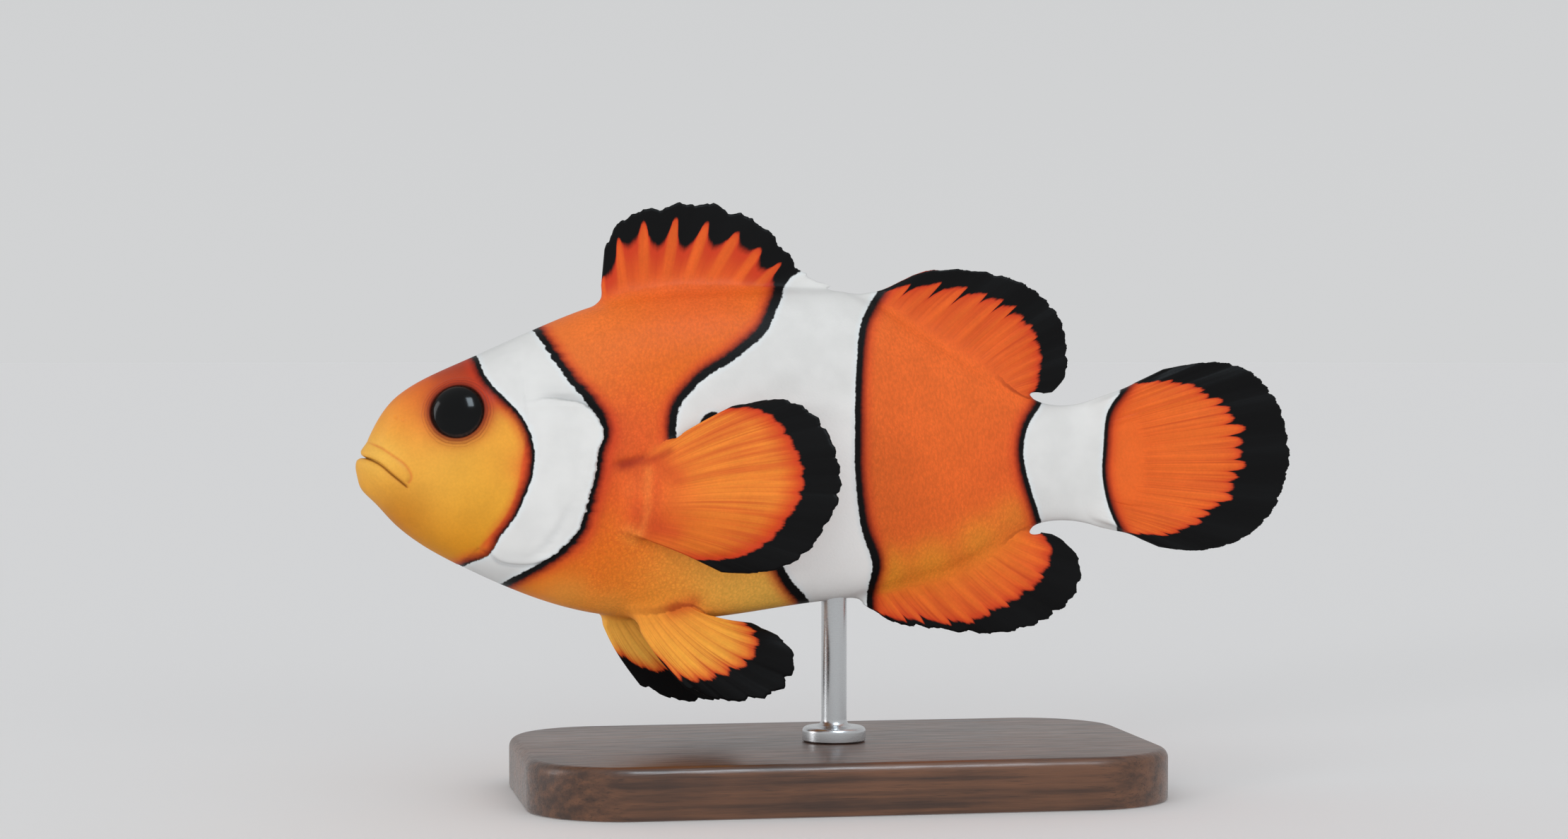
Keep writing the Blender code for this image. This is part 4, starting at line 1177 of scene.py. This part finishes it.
class Nodes:
    """Short names for building a material's nodes."""

    def __init__(self, name):
        self.material = bpy.data.materials.new(name)
        self.material.use_nodes = True
        self.tree = self.material.node_tree
        self.shader = self.tree.nodes["Principled BSDF"]

    def put(self, socket, value):
        """Links a socket to the value's socket, or sets it where the value is a number or a colour."""
        if isinstance(value, bpy.types.NodeSocket):
            self.tree.links.new(value, socket)
            return
        if isinstance(value, (tuple, list, np.ndarray)):
            value = tuple(float(v) for v in value)
            if len(value) == 3 and len(socket.default_value) == 4:
                value += (1.0,)
        socket.default_value = value

    def set(self, **values):
        for name, value in values.items():
            self.put(self.shader.inputs[name.replace("_", " ")], value)

    def node(self, kind, *inputs, **settings):
        """A new node with its settings, and its enabled inputs fed in order."""
        node = self.tree.nodes.new("ShaderNode" + kind)
        for name, value in settings.items():
            setattr(node, name, value)
        for socket, value in zip([s for s in node.inputs if s.enabled], inputs):
            self.put(socket, value)
        return node

    def named(self, kind, inputs, **settings):
        """A new node with its settings and with inputs fed by name."""
        node = self.node(kind, **settings)
        for name, value in inputs.items():
            self.put(node.inputs[name], value)
        return node

    def field(self, name, output="Fac"):
        return self.node("Attribute", attribute_name=name).outputs[output]

    def scaled(self, vector, factor):
        return self.node("VectorMath", vector, factor, operation="SCALE").outputs[0]

    def stretch(self, vector, factors):
        return self.node("VectorMath", vector, factors, operation="MULTIPLY").outputs[0]

    def place(self):
        """Object position in millimetres."""
        return self.scaled(self.node("TexCoord").outputs["Object"], 1 / MM)

    def math(self, operation, *values):
        return self.node("Math", *values, operation=operation).outputs[0]

    def plus(self, first, *values):
        for value in values:
            first = self.math("ADD", first, value)
        return first

    def minus(self, a, b):
        return self.math("SUBTRACT", a, b)

    def times(self, first, *values):
        for value in values:
            first = self.math("MULTIPLY", first, value)
        return first

    def most(self, a, b):
        return self.math("MAXIMUM", a, b)

    def spread(self, value, width):
        """A value around 0.5 as an offset around 0."""
        return self.times(self.minus(value, 0.5), width)

    def ramp(self, value, low, high, to_low=0.0, to_high=1.0):
        node = self.node("MapRange", value, low, high, to_low, to_high, interpolation_type="SMOOTHSTEP")
        return node.outputs["Result"]

    def noise(self, vector, scale, detail=2.0, roughness=0.5):
        inputs = {"Vector": vector, "Scale": scale, "Detail": detail, "Roughness": roughness}
        return self.named("TexNoise", inputs).outputs["Fac"]

    def cells(self, vector, randomness, feature="F1"):
        """A node of cells: its Distance is from their middles, or with DISTANCE_TO_EDGE from their edges."""
        inputs = {"Vector": vector, "Scale": 1.0, "Randomness": randomness}
        return self.named("TexVoronoi", inputs, feature=feature)

    def part(self, vector, axis):
        return self.node("SeparateXYZ", vector).outputs[axis]

    def combine(self, *values):
        return self.node("CombineXYZ", *values).outputs[0]

    def mix(self, share, a, b):
        node = self.node("Mix", share, a, b, data_type="RGBA")
        return [s for s in node.outputs if s.enabled][0]

    def painted(self, colour, *layers):
        """A colour with layers of (share, 8-bit display colour) over it."""
        for share, over in layers:
            colour = self.mix(share, colour, linear(over))
        return colour

    def bump(self, height, strength, distance):
        inputs = {"Height": height, "Strength": strength, "Distance": distance}
        return self.named("Bump", inputs).outputs["Normal"]


def skin_material():
    n = Nodes("orange_skin")
    plus, minus, times, ramp = n.plus, n.minus, n.times, n.ramp
    at = n.place()
    names = ("white", "line", "black", "ray", "reach", "fin", "down", "hairs")
    white, line, black, ray, reach, fin, down, hairs = (n.field(name) for name in names)
    x, z = n.part(at, "X"), minus(n.part(at, "Z"), AXIS)
    grain, mottle = n.noise(at, 4.0, 3.0, 0.6), n.noise(at, 0.35)

    def along_rays(across, along, layer, detail, roughness):
        """Noise drawn out along the fins' rays."""
        return n.noise(n.combine(times(ray, across), times(reach, along), layer), 1.0, detail, roughness)

    # Scales in slanting rows behind the head, each with its own small offsets.
    row, file = times(down, 2.2), times(x, 2.0)
    lattice = n.combine(plus(row, file), minus(row, file), 0.0)
    scales = n.cells(lattice, SCALE_DISORDER)
    middle, dice = scales.outputs["Distance"], n.part(scales.outputs["Color"], "X")
    net = ramp(n.cells(lattice, SCALE_DISORDER, "DISTANCE_TO_EDGE").outputs["Distance"], 0.0, 0.24, 1.0, 0.0)
    scaly = times(minus(1.0, fin), ramp(x, -29.0, -22.0), ramp(x, 18.0, 22.0, 1.0, 0.25))
    feather = along_rays(3.1, 1.1, 0.0, 4.0, 0.62)
    thread = along_rays(5.3, 0.8, 7.0, 2.0, 0.5)

    # Small offsets that roughen every edge between colours, on the bands less towards the tail.
    rough = n.spread(n.noise(at, 2.2, 3.0, 0.6), 0.3)
    calm = times(ramp(x, -3.0, 1.0, 1.0, 0.65), ramp(x, 24.0, 26.0, 1.0, 0.6))
    d_white = plus(white, times(plus(rough, times(n.spread(dice, 0.08), scaly)), calm))
    d_line = plus(white, line, times(rough, calm))
    d_black = plus(black, times(n.spread(feather, 2.4), hairs, ramp(reach, 0.1, 0.4)), rough)

    # Orange ground with its scales and streaks; each scale's middle a little lighter than its border, as
    # painted light on its dome.
    shade = times(
        plus(1.0, times(ramp(middle, 0.1, 0.62, 0.015, -0.02), scaly)),
        plus(1.0, times(ramp(feather, 0.3, 0.7, -0.09, 0.07), fin)),
        ramp(grain, 0.3, 0.7, 0.965, 1.035),
        ramp(mottle, 0.3, 0.7, 0.96, 1.04),
    )
    weave = n.noise(n.stretch(at, (4.4, 4.4, 2.0)), 1.0, 2.0, 0.6)
    shade = times(shade, plus(1.0, times(ramp(weave, 0.34, 0.66, -0.075, 0.065), scaly)))
    patchy = times(ramp(mottle, 0.35, 0.65, 0.55, 1.0), ramp(down, 5.0, 14.0, 0.2, 1.0))
    netted = times(net, scaly, patchy, ramp(z, -13.0, -10.5, 0.3, 1.0), ramp(x, -20.0, -11.0, 0.3, 0.13))

    # Redder webs, and broad and fine dark lines along the rays.
    off_ray = n.math("PINGPONG", times(ray, 2.0), 1.0)
    webbed = times(ramp(off_ray, 0.2, 0.55), n.field("pleats"))
    web = times(webbed, ramp(d_black, -4.5, -0.5, 0.25, 1.0))
    broad = ramp(along_rays(1.5, 0.9, 3.0, 3.0, 0.6), 0.44, 0.64)
    broad = times(broad, n.field("streaks"), ramp(reach, 0.2, 0.6, 0.3, 1.0))
    fine = n.most(ramp(off_ray, 0.78, 1.0, 0.0, 0.7), ramp(thread, 0.52, 0.66))
    fine = times(fine, hairs, ramp(reach, 0.1, 0.7, 0.4, 1.0), ramp(feather, 0.35, 0.65, 1.0, 0.5))

    # Redder, then dark red towards the black lines and edges, which run out softly in the webs.
    smoky = times(d_black, minus(1.0, times(webbed, 0.65)))
    before = minus(1.0, ramp(white, -0.2, 0.1))
    glow = n.most(times(ramp(d_line, -1.5, -0.1), before), ramp(smoky, -1.0, -0.1))
    rust = n.most(times(ramp(d_line, -0.72, 0.02), before), ramp(smoky, -0.36, 0.02))
    in_line, in_edge = ramp(d_line, -0.2, 0.14), ramp(smoky, -0.13, 0.08)

    ground = n.painted(
        n.scaled(n.field("tone", "Color"), shade),
        (netted, (200, 70, 34)),
        (web, (200, 64, 33)),
        (broad, (204, 70, 36)),
        (fine, (186, 58, 30)),
        (times(glow, 0.68), (204, 58, 32)),
        (times(rust, 0.85), (104, 24, 16)),
        (in_line, INK),
        (in_edge, INK),
    )

    # White, with painted light where the pectoral fin shades it, and bluish at its edge.
    light_behind_fin = times(ramp(x, -15.0, -11.0), ramp(x, 2.0, 6.0, 1.0, 0.0))
    light_behind_fin = times(light_behind_fin, ramp(z, 8.0, 2.0), ramp(z, -14.0, -9.0))
    white_tone = n.painted(
        n.mix(ramp(mottle, 0.3, 0.7), linear((219, 220, 219)), linear((225, 226, 225))),
        (light_behind_fin, (252, 252, 251)),
        (ramp(d_white, 0.0, 0.6, 0.5, 0.0), (226, 236, 240)),
    )
    on_white = ramp(d_white, -0.06, 0.07)

    # Fine rings of skin round the eye, and painted shade in folds: dark red over orange, black over black and
    # grey over white.
    lid = n.field("lid")
    rim = plus(lid, n.spread(n.noise(at, 0.9, 3.0, 0.6), 0.32))
    ring = n.math("SINE", times(rim, 2 * math.pi / 0.27))
    near_eye = times(ramp(rim, 2.45, 2.6), ramp(rim, 3.0, 3.6, 1.0, 0.0))
    colour = n.painted(
        n.mix(on_white, ground, white_tone),
        (times(ramp(ring, 0.0, 1.0, 0.0, 0.34), near_eye), (112, 36, 26)),
        (ramp(lid, 2.42, 2.66, 0.9, 0.0), (40, 16, 14)),
    )
    fold_shade_colour = n.mix(n.most(in_line, in_edge), linear((124, 22, 14)), linear(INK))
    fold_shade_colour = n.painted(fold_shade_colour, (on_white, (130, 134, 138)))
    colour = n.mix(times(n.field("fold"), 0.75), colour, fold_shade_colour)

    relief = plus(times(net, scaly, -0.3), times(grain, 0.3))
    relief = plus(relief, times(ring, near_eye, -0.18), times(feather, fin, 0.9))
    n.set(Base_Color=colour, Normal=n.bump(relief, 0.22, 0.1 * MM))
    n.set(Roughness=ramp(grain, 0.3, 0.7, 0.48, 0.58), Specular_IOR_Level=0.09)
    n.set(Coat_Weight=0.03, Coat_Roughness=0.3)
    return n.material


def eye_material():
    n = Nodes("eye_gloss")
    specks = n.noise(n.place(), 4.0, 3.0, 0.6)
    iris = n.mix(n.ramp(specks, 0.3, 0.7), linear((30, 22, 20)), linear((52, 34, 28)))
    n.set(Base_Color=n.mix(n.ramp(n.field("off_axis"), 0.72, 0.77), linear((5, 6, 7)), iris))
    n.set(Roughness=0.13, Specular_IOR_Level=0.18)
    return n.material


def wood_material():
    n = Nodes("dark_wood")
    at = n.place()
    drift = n.noise(at, 0.09, 3.0)
    rings = n.noise(n.stretch(at, (0.035, 0.9, 0.9)), 1.2, 6.0, 0.62)
    pores = n.noise(n.stretch(at, (0.25, 7.0, 7.0)), 1.0, 2.0, 0.6)
    grain = n.plus(n.times(rings, 0.75), n.times(drift, 0.35))
    colour = n.mix(n.ramp(grain, 0.38, 0.72), linear((58, 36, 24)), linear((108, 70, 46)))
    colour = n.painted(colour, (n.times(n.ramp(pores, 0.56, 0.72), 0.55), (34, 21, 15)))
    n.set(Base_Color=colour, Normal=n.bump(pores, 0.25, 0.1 * MM))
    n.set(Roughness=n.ramp(pores, 0.3, 0.7, 0.32, 0.5), Coat_Weight=0.25, Coat_Roughness=0.22)
    return n.material


def steel_material():
    n = Nodes("steel")
    streaks = n.noise(n.stretch(n.place(), (1.0, 1.0, 26.0)), 1.0, 3.0, 0.6)
    n.set(Base_Color=n.mix(streaks, (0.55, 0.56, 0.57), (0.66, 0.67, 0.68)), Metallic=1.0)
    n.set(Roughness=n.ramp(streaks, 0.3, 0.7, 0.26, 0.34), Normal=n.bump(streaks, 0.03, 0.02 * MM))
    return n.material


def paper_material():
    n = Nodes("studio_paper")
    n.set(Base_Color=(0.95, 0.95, 0.955), Roughness=0.95, Specular_IOR_Level=0.1)
    return n.material


# ---------------------------------------------------------------- eyes and stand


def bmesh_object(bm, name, material, sharp_angle=180.0):
    """The built mesh as a smooth object in the scene, with the edges over an angle kept sharp."""
    mesh = bpy.data.meshes.new(name)
    bm.to_mesh(mesh)
    bm.free()
    mesh.shade_smooth()
    if sharp_angle < 180.0:
        mesh.set_sharp_from_angle(angle=math.radians(sharp_angle))
    mesh.materials.append(material)
    return place_object(name, mesh)


def make_eye(name, side, material):
    """A glossy flattened ball whose pupil looks out along the socket's axis."""
    bm = bmesh.new()
    bmesh.ops.create_uvsphere(bm, u_segments=96, v_segments=64, radius=1.0)
    off_axis = bm.verts.layers.float.new("off_axis")
    for v in bm.verts:
        v[off_axis] = math.hypot(v.co.x, v.co.y) if v.co.z > 0 else 1.0
    bmesh.ops.scale(bm, verts=bm.verts, vec=(EYE_RADIUS * MM, EYE_RADIUS * MM, EYE_DEPTH * MM))
    centre, look = eye_axis(side)
    turn = look.to_track_quat("Z", "Y").to_matrix().to_4x4()
    bm.transform(Matrix.Translation(Vector(to_world(centre))) @ turn)
    return bmesh_object(bm, f"{name}_ball", material)


def make_base(material):
    """The wooden base: a plate with round corners and softened top and bottom edges."""
    low, high = (Vector(c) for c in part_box("stand_base"))
    size = high - low
    bm = bmesh.new()
    bmesh.ops.create_cube(bm, size=1.0)
    bmesh.ops.scale(bm, verts=bm.verts, vec=size)
    bmesh.ops.translate(bm, verts=bm.verts, vec=(high + low) / 2)

    def rounded(edges, radius, segments):
        bmesh.ops.bevel(bm, geom=edges, offset=radius * MM, segments=segments, profile=0.5, affect="EDGES")

    rounded([e for e in bm.edges if abs(e.verts[0].co.z - e.verts[1].co.z) > size.z / 2], 9, 24)
    rounded([e for e in bm.edges if all(v.co.z > high.z - 0.01 * MM for v in e.verts)], 0.9, 6)
    rounded([e for e in bm.edges if all(v.co.z < low.z + 0.01 * MM for v in e.verts)], 0.25, 2)
    return bmesh_object(bm, "base_plate", material, 35)


def make_rod(material):
    """The steel rod with its turned collar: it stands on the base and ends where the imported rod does."""
    low, high = (Vector(c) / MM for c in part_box("stand_rod"))
    collar = (high.x - low.x) / 2
    radius, hollow, shoulder, chamfer = 1.2, 0.7, 0.45, 0.15
    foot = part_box("stand_base")[1][2] / MM + 0.02
    ledge = foot + 1.4
    profile = [(0, high.z), (radius - 0.3, high.z), (radius, high.z - 0.3), (radius, ledge + hollow)]
    quarter = [math.pi / 2 * k / 6 for k in range(7)]
    for a in quarter:
        profile.append((radius + hollow * (1 - math.cos(a)), ledge + hollow * (1 - math.sin(a))))
    for a in quarter:
        profile.append((collar - shoulder * (1 - math.sin(a)), ledge - shoulder * (1 - math.cos(a))))
    profile += [(collar, foot + chamfer), (collar - chamfer, foot), (0, foot)]
    bm = bmesh.new()
    turned = [bm.verts.new((r * MM, 0, z * MM)) for r, z in profile]
    edges = [bm.edges.new(pair) for pair in zip(turned, turned[1:])]
    bmesh.ops.spin(bm, geom=turned + edges, axis=(0, 0, 1), cent=(0, 0, 0), steps=64, angle=2 * math.pi)
    bmesh.ops.remove_doubles(bm, verts=bm.verts, dist=0.001 * MM)
    bmesh.ops.recalc_face_normals(bm, faces=bm.faces)
    bmesh.ops.translate(bm, verts=bm.verts, vec=((low.x + high.x) / 2 * MM, (low.y + high.y) / 2 * MM, 0))
    return bmesh_object(bm, "rod_and_collar", material, 40)


# ---------------------------------------------------------------- studio


def make_floor():
    """A wide pale paper floor, left out of reflections so that the eyes stay evenly dark."""
    bm = bmesh.new()
    bmesh.ops.create_circle(bm, cap_ends=True, segments=128, radius=12.0)
    floor = bmesh_object(bm, "floor", paper_material())
    floor.visible_glossy = False
    return floor


def aimed(name, data, target, azimuth, elevation, distance):
    """An object that looks at the target; azimuth 0 is on the -Y side, and +90 on the +X side."""
    a, e = math.radians(azimuth), math.radians(elevation)
    away = Vector((math.sin(a) * math.cos(e), -math.cos(a) * math.cos(e), math.sin(e)))
    target = Vector(to_world(target))
    obj = place_object(name, data)
    obj.location = target + distance * away
    obj.rotation_euler = (-away).to_track_quat("-Z", "Y").to_euler()
    return obj


def make_light(kind, name, azimuth, elevation, distance, energy, colour):
    data = bpy.data.lights.new(name, kind)
    data.energy = energy
    data.color = colour
    return aimed(name, data, LIT_PLACE, azimuth, elevation, distance)


def make_sun(name, azimuth, elevation, strength, spread, colour):
    """Soft light from one direction; it lights matt surfaces without showing in glossy ones."""
    sun = make_light("SUN", name, azimuth, elevation, 1.0, strength, colour)
    sun.data.angle = math.radians(spread)
    sun.visible_glossy = False


def make_card(name, azimuth, elevation, distance, size, power, colour):
    """A bright card that shows in reflections only."""
    card = make_light("AREA", name, azimuth, elevation, distance, power, colour)
    card.data.shape = "RECTANGLE"
    card.data.size, card.data.size_y = size
    card.visible_diffuse = False
    card.visible_camera = False


def make_camera():
    """The photo's view: nearly level, from a little ahead of the fish's left side."""
    data = bpy.data.cameras.new("camera")
    data.lens = 75.0
    data.sensor_width = 36.0
    data.clip_start = 0.01
    camera = aimed("camera", data, VIEW_TARGET, VIEW_AZIMUTH, VIEW_ELEVATION, VIEW_DISTANCE)
    bpy.context.scene.camera = camera


def make_sky(strength):
    """Even light from all round, a little brighter at the horizon so that the floor runs into it."""
    world = bpy.data.worlds.new("studio")
    world.use_nodes = True
    nodes, links = world.node_tree.nodes, world.node_tree.links
    height = nodes.new("ShaderNodeSeparateXYZ")
    links.new(nodes.new("ShaderNodeTexCoord").outputs["Generated"], height.inputs[0])
    fade = nodes.new("ShaderNodeMapRange")
    fade.interpolation_type = "SMOOTHSTEP"
    for name, value in {"From Max": 0.3, "To Min": 1.06 * strength, "To Max": strength}.items():
        fade.inputs[name].default_value = value
    links.new(height.outputs["Z"], fade.inputs["Value"])
    background = nodes["Background"]
    background.inputs["Color"].default_value = (0.98, 0.99, 1.0, 1.0)
    links.new(fade.outputs["Result"], background.inputs["Strength"])
    return world


def make_studio():
    make_floor()
    make_sun("key", -20, 14, 0.45, 36, (1.0, 0.99, 0.98))
    make_sun("fill", 24, 9, 0.36, 36, (0.99, 0.99, 1.0))
    make_sun("low", -48, 6, 0.72, 14, (1.0, 1.0, 1.0))
    make_card("window", 13.5, 53, 0.8, (0.2, 0.34), 3.4, (0.76, 0.9, 1.0))
    make_card("side", -97, 18, 0.9, (0.24, 0.6), 1.6, (0.97, 0.98, 1.0))
    bpy.context.scene.world = make_sky(0.62)
    bpy.context.scene.view_settings.view_transform = "Standard"
    make_camera()


# ---------------------------------------------------------------- putting it together


def main():
    skin = make_skin()
    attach(skin, "root")
    flesh = ["head", "lower_jaw", "gill_cover_left", "gill_cover_right", "trunk", "tail_stem", *FINS]
    flesh += [f"{name}_{side}" for name in PAIRED_FINS for side, _ in SIDES]
    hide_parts(*flesh)

    gloss = eye_material()
    for side_name, side in SIDES:
        node = f"eye_{side_name}"
        eye = make_eye(node, side, gloss)
        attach(eye, "root")
        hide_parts(node)

    base, rod = make_base(wood_material()), make_rod(steel_material())
    for piece, node, slot in ((base, "stand_base", "dark_wood"), (rod, "stand_rod", "steel")):
        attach(piece, "root")
        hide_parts(node)
    make_studio()


main()
